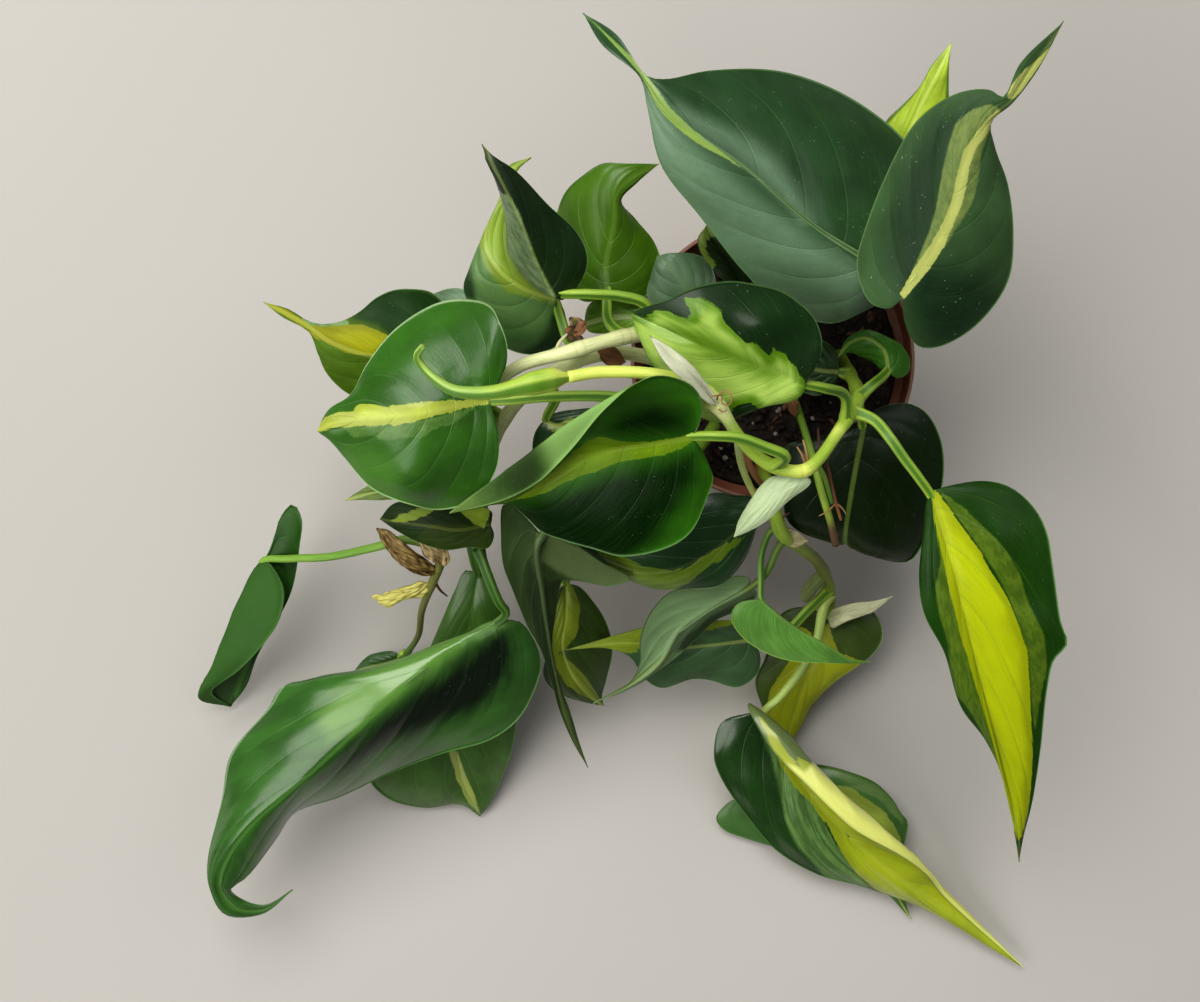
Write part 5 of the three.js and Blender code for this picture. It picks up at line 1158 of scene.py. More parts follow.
class Curve:
    """A centripetal curve through points, read by the share of its length."""

    SAMPLES = 24
    STOPS = 161
    LEAST_GAP = 1e-4
    LOOK_AHEAD = 1e-4

    def __init__(self, points):
        points = np.array(points, float)
        self.spans = len(points) - 1
        self.padded = np.vstack([2 * points[0] - points[1], points, 2 * points[-1] - points[-2]])
        self.steps = np.linspace(0, self.spans, self.SAMPLES * self.spans + 1)
        strides = np.linalg.norm(np.diff(self.read(self.steps), axis=0), axis=1)
        self.lengths = np.concatenate([[0], np.cumsum(strides)])
        self.length = self.lengths[-1]

    def read(self, step):
        step = np.atleast_1d(np.asarray(step, float))
        first = np.clip(np.floor(step).astype(int), 0, self.spans - 1)
        w = (step - first)[:, None]
        p0, p1, p2, p3 = (self.padded[first + k] for k in range(4))
        d0, d1, d2 = (
            np.maximum(np.sqrt(np.linalg.norm(b - a, axis=1, keepdims=True)), self.LEAST_GAP)
            for a, b in ((p0, p1), (p1, p2), (p2, p3))
        )
        t1 = ((p1 - p0) / d0 - (p2 - p0) / (d0 + d1) + (p2 - p1) / d1) * d1
        t2 = ((p2 - p1) / d1 - (p3 - p1) / (d1 + d2) + (p3 - p2) / d2) * d1
        return p1 + w * (t1 + w * (3 * (p2 - p1) - 2 * t1 - t2 + w * (2 * (p1 - p2) + t1 + t2)))

    def step_at(self, share):
        return np.interp(np.asarray(share, float) * self.length, self.lengths, self.steps)

    def at(self, share):
        return self.read(self.step_at(share))

    def ahead(self, share):
        step = self.step_at(share)
        reach = self.LOOK_AHEAD * self.spans
        return unit(self.read(np.minimum(step + reach, self.spans)) - self.read(np.maximum(step - reach, 0)))

    def share_of(self, index):
        return self.lengths[self.SAMPLES * index] / self.length

    def nearest(self, place):
        shares = np.linspace(0, 1, self.STOPS)
        return shares[np.argmin(np.linalg.norm(self.at(shares) - np.array(place), axis=1))]


class Shape:
    """Vertices, triangles and the numbers that the materials read at each vertex."""

    def __init__(self, vertices, triangles, **facts):
        self.vertices = np.asarray(vertices, float).reshape(-1, 3)
        self.triangles = np.asarray(triangles, int).reshape(-1, 3)
        self.facts = {key: np.asarray(value, float).reshape(-1, 3) for key, value in facts.items()}
        self.slots = np.zeros(len(self.triangles), int)

    def welded(self):
        """The same shape with coincident vertices made one and collapsed triangles dropped."""
        keys = np.round(self.vertices, 4)
        _, first, renamed = np.unique(keys, axis=0, return_index=True, return_inverse=True)
        triangles = renamed.reshape(-1)[self.triangles]
        a, b, c = triangles.T
        whole = (a != b) & (b != c) & (c != a)
        facts = {key: value[first] for key, value in self.facts.items()}
        made = Shape(self.vertices[first], triangles[whole], **facts)
        made.slots = self.slots[whole]
        return made

    def joined(self, other, slot=0):
        """This shape with another one beside it, the other's triangles in a material slot."""
        none = np.zeros((len(self.vertices), 3))
        other_none = np.zeros((len(other.vertices), 3))
        facts = {
            key: np.vstack([self.facts.get(key, none), other.facts.get(key, other_none)])
            for key in {**self.facts, **other.facts}
        }
        vertices = np.vstack([self.vertices, other.vertices])
        triangles = np.vstack([self.triangles, other.triangles + len(self.vertices)])
        made = Shape(vertices, triangles, **facts)
        made.slots = np.concatenate([self.slots, other.slots + slot])
        return made


def normals_of(vertices, triangles):
    a, b, c = (vertices[triangles[:, k]] for k in range(3))
    area = np.cross(b - a, c - a)
    normals = np.zeros_like(vertices)
    for k in range(3):
        np.add.at(normals, triangles[:, k], area)
    return unit(normals)


def added(name, data):
    """An object in the scene that holds these data."""
    made = bpy.data.objects.new(name, data)
    bpy.context.scene.collection.objects.link(made)
    return made


def solid(name, shape):
    mesh = bpy.data.meshes.new(name)
    mesh.from_pydata((shape.vertices * MM).tolist(), [], shape.triangles.tolist())
    return added(name, mesh)


def piece(name, shape, looks, slot, *replaced, smoothed=True):
    """A Blender object from a shape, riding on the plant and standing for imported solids."""
    made = solid(name, shape)
    mesh = made.data
    for key, values in shape.facts.items():
        attribute = mesh.attributes.new(key, "FLOAT_VECTOR", "POINT")
        attribute.data.foreach_set("vector", values.astype(np.float32).ravel())
    for look in looks:
        mesh.materials.append(look)
    mesh.polygons.foreach_set("material_index", shape.slots.astype(np.int32))
    mesh.polygons.foreach_set("use_smooth", np.full(len(shape.triangles), smoothed))
    mesh.update()
    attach(made, "root")
    if replaced:
        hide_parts(*replaced)
    return made


def turns_of(sides):
    return np.arange(sides) * 2 * math.pi / sides


def ring_triangles(rows, sides, start=0):
    """The triangles between rings of vertices, each ring closed on itself."""
    index = start + np.arange(rows * sides).reshape(rows, sides)
    nxt = np.roll(index, -1, axis=1)
    quads = [(index[:-1], nxt[:-1], nxt[1:]), (index[:-1], nxt[1:], index[1:])]
    return np.concatenate([np.stack(quad, -1).reshape(-1, 3) for quad in quads])


def polygon_depth(points, outline):
    """How deep points lie inside an outline, in its own units, and less than zero outside."""
    corners = np.array(outline, float)
    ends = np.roll(corners, -1, axis=0)
    best = np.full(len(points), np.inf)
    inside = np.zeros(len(points), bool)
    for a, b in zip(corners, ends):
        edge = b - a
        share = np.clip(((points - a) @ edge) / max(edge @ edge, TINY), 0, 1)
        best = np.minimum(best, np.linalg.norm(points - a - share[:, None] * edge, axis=1))
        crosses = (a[1] > points[:, 1]) != (b[1] > points[:, 1])
        rise = b[1] - a[1] if b[1] != a[1] else TINY
        inside ^= crosses & (points[:, 0] < (b[0] - a[0]) * (points[:, 1] - a[1]) / rise + a[0])
    return np.where(inside, best, -best)


def patch_depth(points, reach, share, patches):
    """Depth inside the nearest of several patches, in millimetres."""
    best = np.full(len(points), -FAR_OUTSIDE)
    for one in patches:
        depth = VIEW_MM * polygon_depth(points, one["line"])
        if one["side"]:
            depth = np.minimum(depth, reach if one["side"] == "right" else -reach)
        if one["within"] < 1:
            depth = np.minimum(depth, (one["within"] - share) * WITHIN_MM)
        best = np.maximum(best, depth)
    return best


def blade_lines(leaf):
    """A blade's midrib, margins and folds as curves, each with the share at which its drip tip starts."""
    drip = leaf.get("drip", 1)
    rib = [seen(place) for place in leaf["rib"]]

    def line(points):
        curve = Curve(points)
        return curve, curve.share_of(len(points) - 1 - drip)

    lines = {"rib": line(rib)}
    for side in ("right", "left", "right_fold", "left_fold"):
        if side in leaf:
            lines[side] = line([rib[0], *(seen(place) for place in leaf[side]), rib[-1]])
    return lines


def bell(value, width):
    """1 where value is 0, falling off on both sides."""
    return np.exp(-((value / width) ** 2))


def spread_blade(leaf, body, drip, columns):
    """A blade before its relief, each half bent over its fold or its bow.

    It is given how far down the body and the drip tip each row lies. It gives back rows of points from
    margin to margin, how far each point lies from the midrib, less than zero on the left, the share of the
    midrib at each row, and the midrib's length.
    """
    lines = blade_lines(leaf)

    def along(line, spread):
        return line[1] * spread + (1 - line[1]) * drip

    rib = lines["rib"][0]
    rib_share = along(lines["rib"], body**2)
    middle = rib.at(rib_share)
    ahead = rib.ahead(rib_share)
    left, right = (lines[side][0].at(along(lines[side], body)) for side in ("left", "right"))
    up = unit(np.cross(right - left, ahead))
    grid = np.zeros((len(body), 2 * columns + 1, 3))
    reach = np.zeros(grid.shape[:2])
    for k, column in enumerate(range(-columns, columns + 1)):
        side, sign, edge = ("left", -1, left) if column < 0 else ("right", 1, right)
        fold = lines.get(f"{side}_fold")
        share = abs(column) / columns
        width = edge - middle
        span = np.linalg.norm(width, axis=1, keepdims=True)
        lift = unit(np.cross(width, ahead) * sign + BOW_UP * span * up)
        halfway = fold[0].at(along(fold, body)) if fold else middle + 0.5 * width + BOW * span * lift
        grid[:, k] = (
            (1 - share) * (1 - 2 * share) * middle + 4 * share * (1 - share) * halfway
            + share * (2 * share - 1) * edge
        )
        reach[:, k] = share * span[:, 0] * sign
    return grid, reach, rib_share, rib.length


def two_faced(triangles, index):
    """The triangles of a thin closed sheet, where the lower face's vertices follow the upper face's."""
    rim = np.concatenate([index[0, :], index[1:, -1], index[-1, -2::-1], index[-2:0:-1, 0]])
    after = np.roll(rim, -1)
    size = index.size
    sides = np.concatenate(
        [np.stack([rim, rim + size, after + size], 1), np.stack([rim, after + size, after], 1)]
    )
    return np.concatenate([triangles, triangles[:, ::-1] + size, sides[:, ::-1]])


def blade(leaf, fineness, seed, half=BLADE_HALF, zones=None, relief=1.0, swells=(), crumple=0.0):
    """A blade with its veins pressed in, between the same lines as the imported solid.

    Swells are blisters and dents given as [across, down, radius, height], placed in the view, sized in mm.
    The materials read three facts at each vertex. place is how far along and across the blade it lies, and
    1 on the lower face. form is the number of veins passed, the share of the half's width, and the seed.
    zone is the depth inside each kind of patch.
    """
    rows, drip_rows, columns = fineness
    row = np.arange(rows + drip_rows + 1)
    body = np.minimum(row / rows, 1)
    drip = np.maximum(row - rows, 0) / drip_rows
    grid, reach, rib_share, rib_length = spread_blade(leaf, body, drip, columns)
    index = np.arange(reach.size).reshape(reach.shape)
    a, b, c, d = index[:-1, :-1], index[:-1, 1:], index[1:, :-1], index[1:, 1:]
    triangles = np.concatenate([np.stack(t, -1).reshape(-1, 3) for t in ((a, b, c), (b, d, c))])
    points = grid.reshape(-1, 3)
    share = np.broadcast_to(np.abs(np.arange(-columns, columns + 1)) / columns, reach.shape).copy()
    share[0] = share[-1] = 0
    long = np.broadcast_to((rib_share * rib_length)[:, None], reach.shape)
    count = VEINS_LARGE if leaf.get("large") else VEINS_SMALL
    phase = count * body[:, None] - VEIN_SWEEP * share**1.25 + 0.35 * np.sin(seed)

    # What stands out of it: the midrib's groove, veins with the skin raised between them, waves and blisters.
    normals = normals_of(points, triangles).reshape(grid.shape)
    on_body = 1 - drip[:, None]
    down = body[:, None]
    fade = smooth(np.abs(reach), 0.3, 2.5) * (1 - smooth(share, 0.7, 1.0)) * on_body
    near = 0.5 - np.abs(phase % 1 - 0.5)
    groove = -RIB_GROOVE * bell(reach, RIB_WIDTH) * (1 - 0.6 * rib_share[:, None]) * smooth(down, 0, 0.25)
    veins = fade * (-VEIN_GROOVE * bell(near, VEIN_WIDTH) + QUILT * np.sqrt(near))
    wave = WAVE * share**2 * np.sin(WAVE_RATE * down + 2.4 * seed + np.sign(reach)) * on_body
    lift = relief * (groove + veins * smooth(down, 0.08, 0.3) + wave * smooth(down, 0.1, 0.4))
    spots = viewed(points)
    inner = (1 - smooth(share, 0.75, 1.0)) * smooth(down, 0.02, 0.1) * on_body
    for x, y, radius, height in swells:
        away = VIEW_MM * np.hypot(spots[:, 0] - x, spots[:, 1] - y).reshape(share.shape)
        lift = lift + inner * height * bell(away, radius)
    folds = np.sin(0.9 * long + 1.7 * seed + 2.0 * np.sin(0.8 * reach)) * np.cos(1.3 * reach + 0.5 * long)
    lift = lift + crumple * folds * smooth(down, 0.05, 0.3)
    thick = half * (1 - THINNING * share**6)
    top = grid + (lift + thick)[..., None] * normals
    bottom = grid + (lift - thick)[..., None] * normals

    zones = zones or {}
    flat_reach, flat_share = reach.ravel(), share.ravel()
    depths = [patch_depth(spots, flat_reach, flat_share, zones.get(key, [])) for key in ZONES]
    place = [np.stack([long, reach, np.full(reach.shape, under)], -1) for under in (0.0, 1.0)]
    form = np.stack([phase, share, np.full(reach.shape, seed)], -1)
    made = Shape(
        np.concatenate([top.reshape(-1, 3), bottom.reshape(-1, 3)]),
        two_faced(triangles, index),
        place=np.concatenate([p.reshape(-1, 3) for p in place]),
        form=np.concatenate([form.reshape(-1, 3)] * 2),
        zone=np.concatenate([np.stack(depths, -1)] * 2),
    )
    return made.welded()


def carried(curve, shares, facing):
    """Tangents and steady sideways directions along a curve, the last one nearest to facing."""
    ahead = curve.ahead(shares)
    side = np.zeros_like(ahead)
    current = unit(np.array(facing) - np.dot(facing, ahead[-1]) * ahead[-1])
    for k in range(len(shares) - 1, -1, -1):
        current = unit(current - np.dot(current, ahead[k]) * ahead[k])
        side[k] = current
    return ahead, side


def tinted(tints, shares):
    """Colours along a stalk from a list of (share, colour)."""
    stops = [t[0] for t in tints]
    return np.stack([np.interp(shares, stops, [t[1][k] for t in tints]) for k in range(3)], -1)


def stalk(curve, radius_at, sides, stride, tints, facing=(0, 0, 1), channel=0.0, rings=(), seed=0):
    """A tube along a curve, its upper side pressed into a channel where one is asked for.

    The material reads how far round it each point lies, from 0 at the channel. Without one this starts at
    NO_CHANNEL. It also reads the length so far, and how far the nearest of the rings is.
    """
    steps = max(6, int(curve.length / stride))
    shares = np.linspace(0, 1, steps + 1)
    ahead, up = carried(curve, shares, facing)
    over = np.cross(ahead, up)
    turns = turns_of(sides)
    from_top = np.abs((turns + math.pi) % (2 * math.pi) - math.pi)
    pinch = 1 - channel * bell(from_top, 0.55) + 0.16 * channel * bell(from_top - 1.0, 0.4)
    r = np.array([radius_at(share) for share in shares])[:, None] * pinch[None, :]
    outwards = np.cos(turns)[None, :, None] * up[:, None] + np.sin(turns)[None, :, None] * over[:, None]
    vertices = curve.at(shares)[:, None] + r[..., None] * outwards
    last = steps * sides
    caps = [[0, j + 1, j] for j in range(1, sides - 1)]
    caps += [[last, last + j, last + j + 1] for j in range(1, sides - 1)]
    length = shares * curve.length
    ring = np.full(len(shares), NO_RING)
    for place in rings:
        ring = np.minimum(ring, np.abs(length - place * curve.length))
    around = np.sin(turns / 2) * 6 + (0 if channel else NO_CHANNEL)
    spread = (around, (length + SEED_STEP * seed)[:, None], ring[:, None])
    facts = np.stack([np.broadcast_to(values, (steps + 1, sides)) for values in spread], -1)
    tint = np.broadcast_to(tinted(tints, shares)[:, None], (steps + 1, sides, 3))
    triangles = np.concatenate([ring_triangles(steps + 1, sides), np.array(caps)])
    return Shape(vertices, triangles, stalk=facts, tint=tint)


def through(values):
    """The radius at each share of a length, running through evenly spaced values."""
    stops = np.linspace(0, 1, len(values))
    return lambda share: float(np.interp(share, stops, values))


def turned(outline, sides):
    """A surface of revolution about Z from [radius, height] pairs that start and end on the axis."""
    outline = np.array(outline, float)
    turns = turns_of(sides)
    ring = np.stack([np.cos(turns), np.sin(turns)], -1)
    vertices = np.concatenate(
        [np.concatenate([radius * ring, np.full((sides, 1), height)], 1) for radius, height in outline]
    )
    return Shape(vertices, ring_triangles(len(outline), sides)).welded()


class Shader:
    """A principled material and short ways to add the nodes that feed it."""

    def __init__(self, name):
        self.material = bpy.data.materials.new(name)
        self.material.use_nodes = True
        self.tree = self.material.node_tree
        self.tree.nodes.clear()
        output = self.node("ShaderNodeOutputMaterial")
        self.skin = self.node("ShaderNodeBsdfPrincipled")
        self.put(output.inputs["Surface"], self.skin.outputs["BSDF"])

    def node(self, kind, **settings):
        made = self.tree.nodes.new(kind)
        for key, value in settings.items():
            setattr(made, key, value)
        return made

    def put(self, socket, value):
        if isinstance(value, bpy.types.NodeSocket):
            self.tree.links.new(value, socket)
        elif isinstance(value, tuple) and len(value) == 3 and len(socket.default_value) == 4:
            socket.default_value = (*value, 1)
        else:
            socket.default_value = value

    def fed(self, made, values, result=0):
        """A node's output, once its first inputs are given these values."""
        for socket, value in zip(made.inputs, values):
            self.put(socket, value)
        return made.outputs[result]

    def finish(self, **values):
        """The material, once the principled shader's sockets are given these values."""
        for key, value in values.items():
            self.put(self.skin.inputs[key.replace("_", " ")], value)
        return self.material

    def math(self, operation, *values, clamp=False):
        return self.fed(self.node("ShaderNodeMath", operation=operation, use_clamp=clamp), values)

    def plus(self, first, second):
        return self.math("ADD", first, second)

    def minus(self, first, second):
        return self.math("SUBTRACT", first, second)

    def times(self, first, second):
        return self.math("MULTIPLY", first, second)

    def size(self, value):
        return self.math("ABSOLUTE", value)

    def mix(self, share, first, second):
        made = self.node("ShaderNodeMix", data_type="RGBA", clamp_factor=True)
        for socket, value in zip((made.inputs[0], made.inputs[6], made.inputs[7]), (share, first, second)):
            self.put(socket, value)
        return made.outputs[2]

    def shaded(self, colour, factors):
        """A colour with each of its channels multiplied."""
        return self.fed(self.node("ShaderNodeVectorMath", operation="MULTIPLY"), (colour, factors))

    def fact(self, name):
        source = self.node("ShaderNodeAttribute", attribute_type="GEOMETRY", attribute_name=name)
        return source.outputs["Vector"]

    def object_place(self):
        return self.node("ShaderNodeTexCoord").outputs["Object"]

    def parts(self, vector):
        made = self.node("ShaderNodeSeparateXYZ")
        self.put(made.inputs[0], vector)
        return made.outputs[0], made.outputs[1], made.outputs[2]

    def vector(self, x, y, z):
        return self.fed(self.node("ShaderNodeCombineXYZ"), (x, y, z))

    def noise(self, place, scale, detail=2.0, roughness=0.5):
        made = self.node("ShaderNodeTexNoise")
        settings = {"Vector": place, "Scale": scale, "Detail": detail, "Roughness": roughness}
        for key, value in settings.items():
            self.put(made.inputs[key], value)
        return made.outputs["Fac"]

    def cells(self, place, scale):
        made = self.node("ShaderNodeTexVoronoi")
        self.put(made.inputs["Vector"], place)
        self.put(made.inputs["Scale"], scale)
        return made.outputs["Distance"]

    def step(self, value, low, high, out_low=0.0, out_high=1.0):
        made = self.node("ShaderNodeMapRange", interpolation_type="SMOOTHSTEP")
        return self.fed(made, (value, low, high, out_low, out_high))

    def bump(self, height, strength, distance):
        made = self.node("ShaderNodeBump")
        for key, value in {"Height": height, "Strength": strength, "Distance": distance}.items():
            self.put(made.inputs[key], value)
        self.put(self.skin.inputs["Normal"], made.outputs[0])


def leaf_skin(name, look):
    """The skin of one blade: markings that run out along the veins, some of them painted shade, sheen and
    light, a pale midrib, thin edges, dust.
    """
    s = Shader(name)
    along, across, under = s.parts(s.fact("place"))
    phase, share, seed = s.parts(s.fact("form"))
    lime, mid, deep = s.parts(s.fact("zone"))
    flat = s.vector(along, across, s.times(seed, SEED_STEP))
    reach = s.size(across)

    def veined(bands, detail=3.0):
        return s.noise(s.vector(s.times(phase, bands[0]), s.times(reach, bands[1]), seed), 1.0, detail)

    streaks = veined(STREAKS)
    grain = s.noise(flat, 0.9, 3.0, 0.6)
    stray = s.times(s.minus(streaks, 0.5), look["jag"] * STRAY)
    stray = s.plus(stray, s.times(s.minus(grain, 0.5), FRAY))

    def mask(distance, width):
        return s.step(s.plus(distance, stray), -width, width)

    # The green, its dark patches, and the greyer ones with strokes of green in them. On several leaves the
    # dark patches are painted shade and the greyer ones painted sheen.
    cloud = s.noise(flat, 0.055, 3.0, 0.55)
    base = s.mix(s.step(cloud, 0.35, 0.68), look["base"], tuple(1.5 * c for c in look["base"]))
    mottle = s.step(s.noise(flat, 0.28, 4.0, 0.65), 0.38, 0.62)
    sunk = mask(deep, look["soft"])
    colour = s.mix(sunk, base, look["deep"])
    blotched = s.mix(s.times(mottle, look["mottle"]), look["mid"], base)
    blotched = s.mix(s.step(veined(STROKES), 0.42, 0.56, 0.0, look["brushed"]), blotched, base)
    colour = s.mix(mask(mid, MID_EDGE * look["blend"]), colour, blotched)

    # The lime patches: lower colour in clouds and towards the rim, flecks, threads along the veins, and
    # painted shade where a dark patch overlies them.
    inner = s.step(lime, 0.0, 5.0, 0.30, 0.0)
    clouded = s.plus(s.times(cloud, 0.7), s.times(streaks, 0.2))
    yellow = s.mix(s.step(s.plus(clouded, inner), 0.4, 0.75), look["lime"], look["lime_low"])
    fleck = s.step(s.noise(flat, 1.4, 3.0, 0.7), 0.62, 0.72, 0.0, 0.4)
    yellow = s.mix(fleck, yellow, tuple(0.4 * c for c in look["lime_low"]))
    yellow = s.mix(s.step(veined(THREADS), 0.42, 0.68, 0.0, look["threads"]), yellow, look["lime_low"])
    yellow = s.mix(s.times(sunk, look["sink"]), yellow, look["lime_low"])
    colour = s.mix(mask(lime, LIME_EDGE * look["bleed"]), colour, yellow)

    # Lateral veins, fine veins between them, the midrib and the thin pale margin.
    turn = s.size(s.minus(s.math("FRACT", phase), 0.5))
    vein = s.times(s.step(turn, 0.455, 0.5), s.step(share, 1.0, 0.55))
    fine = veined(FINE_VEINS, 2.0)
    colour = s.mix(s.times(vein, look["veins"]), colour, s.mix(0.55, colour, look["vein"]))
    colour = s.mix(s.step(fine, 0.38, 0.66, 0.0, look["hatch"]), colour, look["vein"])
    rib = s.times(s.step(reach, look["ribbing"], 0.45 * look["ribbing"]), look["rib"])
    colour = s.mix(rib, colour, look["ribbon"])
    edge = s.step(share, look["edging"], 0.5 + 0.5 * look["edging"])
    colour = s.mix(s.times(edge, 0.75), colour, look["edge"])

    # A dusty film and a few grains on the upper face, and a duller, paler lower face that stays less pale
    # inside the dark patches, painted shade on some leaves.
    film = s.step(s.noise(flat, 0.09, 4.0, 0.6), 0.25, 0.75, 0.3 * look["dust"], look["dust"])
    colour = s.mix(film, colour, FILM)
    speck = s.times(s.step(s.cells(flat, 0.9), 0.19, 0.06), s.step(s.noise(flat, 0.22), 0.55, 0.68))
    speck = s.math("MAXIMUM", speck, s.step(s.cells(flat, 0.16), 0.035, 0.015))
    colour = s.mix(s.times(speck, look["specks"]), colour, DUST_GRAIN)
    veil = s.times(s.step(sunk, 1.0, 0.0, 0.15), look["veil"])
    colour = s.mix(under, colour, s.mix(veil, colour, look["under"]))

    rough = s.plus(s.times(s.noise(flat, 0.35, 3.0), 0.16), look["gloss"] - 0.08)
    rough = s.plus(rough, s.times(film, 0.35))
    height = s.minus(s.plus(s.times(fine, 0.5), s.times(grain, 0.35)), s.times(vein, 0.7))
    s.bump(height, 0.55, 0.00022)
    return s.finish(
        Base_Color=colour,
        Roughness=s.math("ADD", rough, s.times(under, 0.2), clamp=True),
        Specular_IOR_Level=look["shine"],
        Coat_Weight=look["coat"],
        Coat_Roughness=0.16,
        Subsurface_Weight=0.06,
        Subsurface_Radius=(0.0006, 0.001, 0.0003),
    )


def stem_skin(name, gloss=0.42):
    """Stems and petioles: a tint given along them, long streaks, painted shade in the channel, and rings at
    the knuckles.
    """
    s = Shader(name)
    tint = s.fact("tint")
    around, along, ring = s.parts(s.fact("stalk"))
    streaks = s.noise(s.vector(s.times(around, 2.2), s.times(along, 0.06), 0.0), 1.6, 3.0)
    colour = s.mix(s.step(streaks, 0.42, 0.72, 0.0, 0.6), tint, s.shaded(tint, STREAK_SHADE))
    blots = s.noise(s.vector(around, s.times(along, 0.4), 0.0), 1.3, 4.0, 0.65)
    # Painted shade: the channel's groove is drawn darker, as if in its own shadow.
    groove = s.step(s.size(around), 2.1, 1.0, 0.0, 0.8)
    colour = s.mix(groove, colour, s.shaded(tint, GROOVE_PAINTED_SHADE))
    colour = s.mix(s.step(blots, 0.62, 0.74, 0.0, 0.4), colour, BLOTS)
    scar = s.step(s.size(s.minus(ring, SCAR_AWAY)), 0.6, 0.2, 0.0, 0.12)
    colour = s.mix(scar, colour, SCAR)
    s.bump(s.plus(streaks, s.times(scar, -0.5)), 0.4, 0.0003)
    return s.finish(
        Base_Color=colour,
        Roughness=s.step(blots, 0.3, 0.7, gloss - 0.05, gloss + 0.15),
        Subsurface_Weight=0.08,
        Subsurface_Radius=(0.001, 0.0012, 0.0004),
    )


def paper_skin(name, pale, dark, rough=0.6, browned=0.55):
    """A thin sheath with long fibres, browner towards its edges."""
    s = Shader(name)
    along, across, _ = s.parts(s.fact("place"))
    _, share, seed = s.parts(s.fact("form"))
    fibres = s.noise(s.vector(s.times(across, 3.0), s.times(along, 0.12), seed), 1.0, 3.0)
    blots = s.noise(s.vector(along, across, seed), 0.3, 4.0, 0.6)
    colour = s.mix(s.step(fibres, 0.35, 0.62, 0.0, browned), pale, dark)
    colour = s.mix(s.step(blots, 0.5, 0.75, 0.0, 0.6), colour, dark)
    colour = s.mix(s.step(share, 0.88, 1.0, 0.0, 0.7), colour, tuple(0.6 * c for c in dark))
    s.bump(fibres, 0.5, 0.0002)
    return s.finish(Base_Color=colour, Roughness=s.step(fibres, 0.3, 0.7, rough - 0.1, rough + 0.15))


def pot_skin():
    """Thin moulded terracotta-coloured plastic, scuffed, with a dusty lip and old water marks."""
    s = Shader("pot_skin")
    place = s.object_place()
    x, y, z = s.parts(place)
    cloud = s.noise(place, 38.0, 4.0, 0.6)
    colour = s.mix(s.step(cloud, 0.3, 0.7), *POT_BROWNS)
    rings = s.vector(s.times(x, 30.0), s.times(y, 30.0), s.times(z, 260.0))
    marks = s.noise(rings, 1.0, 4.0)
    colour = s.mix(s.step(marks, 0.52, 0.75, 0.0, 0.3), colour, POT_MARKS)
    lip = s.step(z, *(MM * height for height in DUSTY_LIP))
    colour = s.mix(s.times(lip, 0.5), colour, POT_DUST)
    grit = s.step(s.noise(place, 900.0, 2.0), 0.6, 0.72)
    colour = s.mix(s.times(grit, 0.35), colour, POT_GRIT)
    s.bump(s.plus(s.noise(place, 420.0, 3.0), marks), 0.25, 0.0002)
    return s.finish(Base_Color=colour, Roughness=s.step(cloud, 0.3, 0.7, 0.42, 0.62))


def soil_skin():
    """Dark moist peat: crumbs and lighter dry spots."""
    s = Shader("soil_skin")
    place = s.object_place()
    cloud = s.noise(place, 90.0, 4.0, 0.65)
    crumb = s.noise(place, 700.0, 4.0, 0.7)
    colour = s.mix(s.step(cloud, 0.35, 0.7), *PEAT_BROWNS)
    colour = s.mix(s.step(crumb, 0.55, 0.75, 0.0, 0.5), colour, DRY_PEAT)
    s.bump(crumb, 0.9, 0.0008)
    return s.finish(Base_Color=colour, Roughness=s.step(crumb, 0.3, 0.7, 0.7, 0.95))


def grain_skin(name, first, second, scale, rough):
    """Grains of one kind, each a little different."""
    s = Shader(name)
    place = s.object_place()
    cloud = s.noise(place, scale, 3.0, 0.6)
    s.bump(s.noise(place, scale * 4, 3.0, 0.7), 0.8, 0.0004)
    return s.finish(
        Base_Color=s.mix(s.step(cloud, 0.35, 0.65), first, second),
        Roughness=s.step(cloud, 0.3, 0.7, rough - 0.1, rough + 0.05),
    )


def floor_skin():
    """The plain pale floor."""
    s = Shader("floor_skin")
    cloud = s.noise(s.object_place(), 1.2, 3.0)
    return s.finish(Base_Color=s.mix(s.step(cloud, 0.3, 0.7), *FLOOR_COLOURS), Roughness=0.85)


def stem_radius(name, curve, knuckles):
    """A stem's radius at each share of its length: tapering, with knuckles and bulges."""
    first, last = (slim * radius for slim, radius in zip(SLIMMED.get(name, (1, 1)), STEMS[name]["radius"]))
    bulges = [(curve.nearest(seen(place)), rise, width) for place, rise, width in BULGES.get(name, ())]

    def radius_at(share):
        nearest = min([1.0] + [abs(knuckle - share) for knuckle in knuckles])
        swell = 1 + KNUCKLE * bell(nearest * curve.length, KNUCKLE_WIDTH)
        for middle, rise, width in bulges:
            swell += rise * bell((share - middle) * curve.length, width)
        return (first + (last - first) * share) * swell

    return radius_at


def slot_of(name):
    """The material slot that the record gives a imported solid."""
    wanted = {entry["node"]: entry["material_slot"] for entry in frame["record"]["subparts"]}
    return wanted[name]


def dress_plant():
    stem_look = stem_skin("stem_skin")
    seed = 0
    for stem_name, stem in STEMS.items():
        curve = Curve([seen(place) for place in stem["line"]])
        leaves, sheaths = LEAVES.get(stem_name, {}), SHEATHS.get(stem_name, {})
        starts = [leaf["petiole"][0] if leaf["petiole"] else leaf["rib"][0] for leaf in leaves.values()]
        starts += [sheath["rib"][0] for sheath in sheaths.values()]
        knuckles = [curve.nearest(seen(place)) for place in starts]
        radius_at = stem_radius(stem_name, curve, knuckles)
        body = stalk(curve, radius_at, STEM_SIDES, STEM_STRIDE, STEM_TINTS[stem_name], rings=knuckles)
        piece(f"{stem_name}_fine", body, [stem_look], slot_of(stem_name), stem_name)
        for name, leaf in leaves.items():
            seed += 1
            dress_leaf(name, leaf, curve, seed, stem_look)
        for name, sheath in sheaths.items():
            seed += 1
            dress_sheath(name, sheath, seed)
    dress_new_leaf()
    dress_roots(stem_skin("root_skin", 0.7))


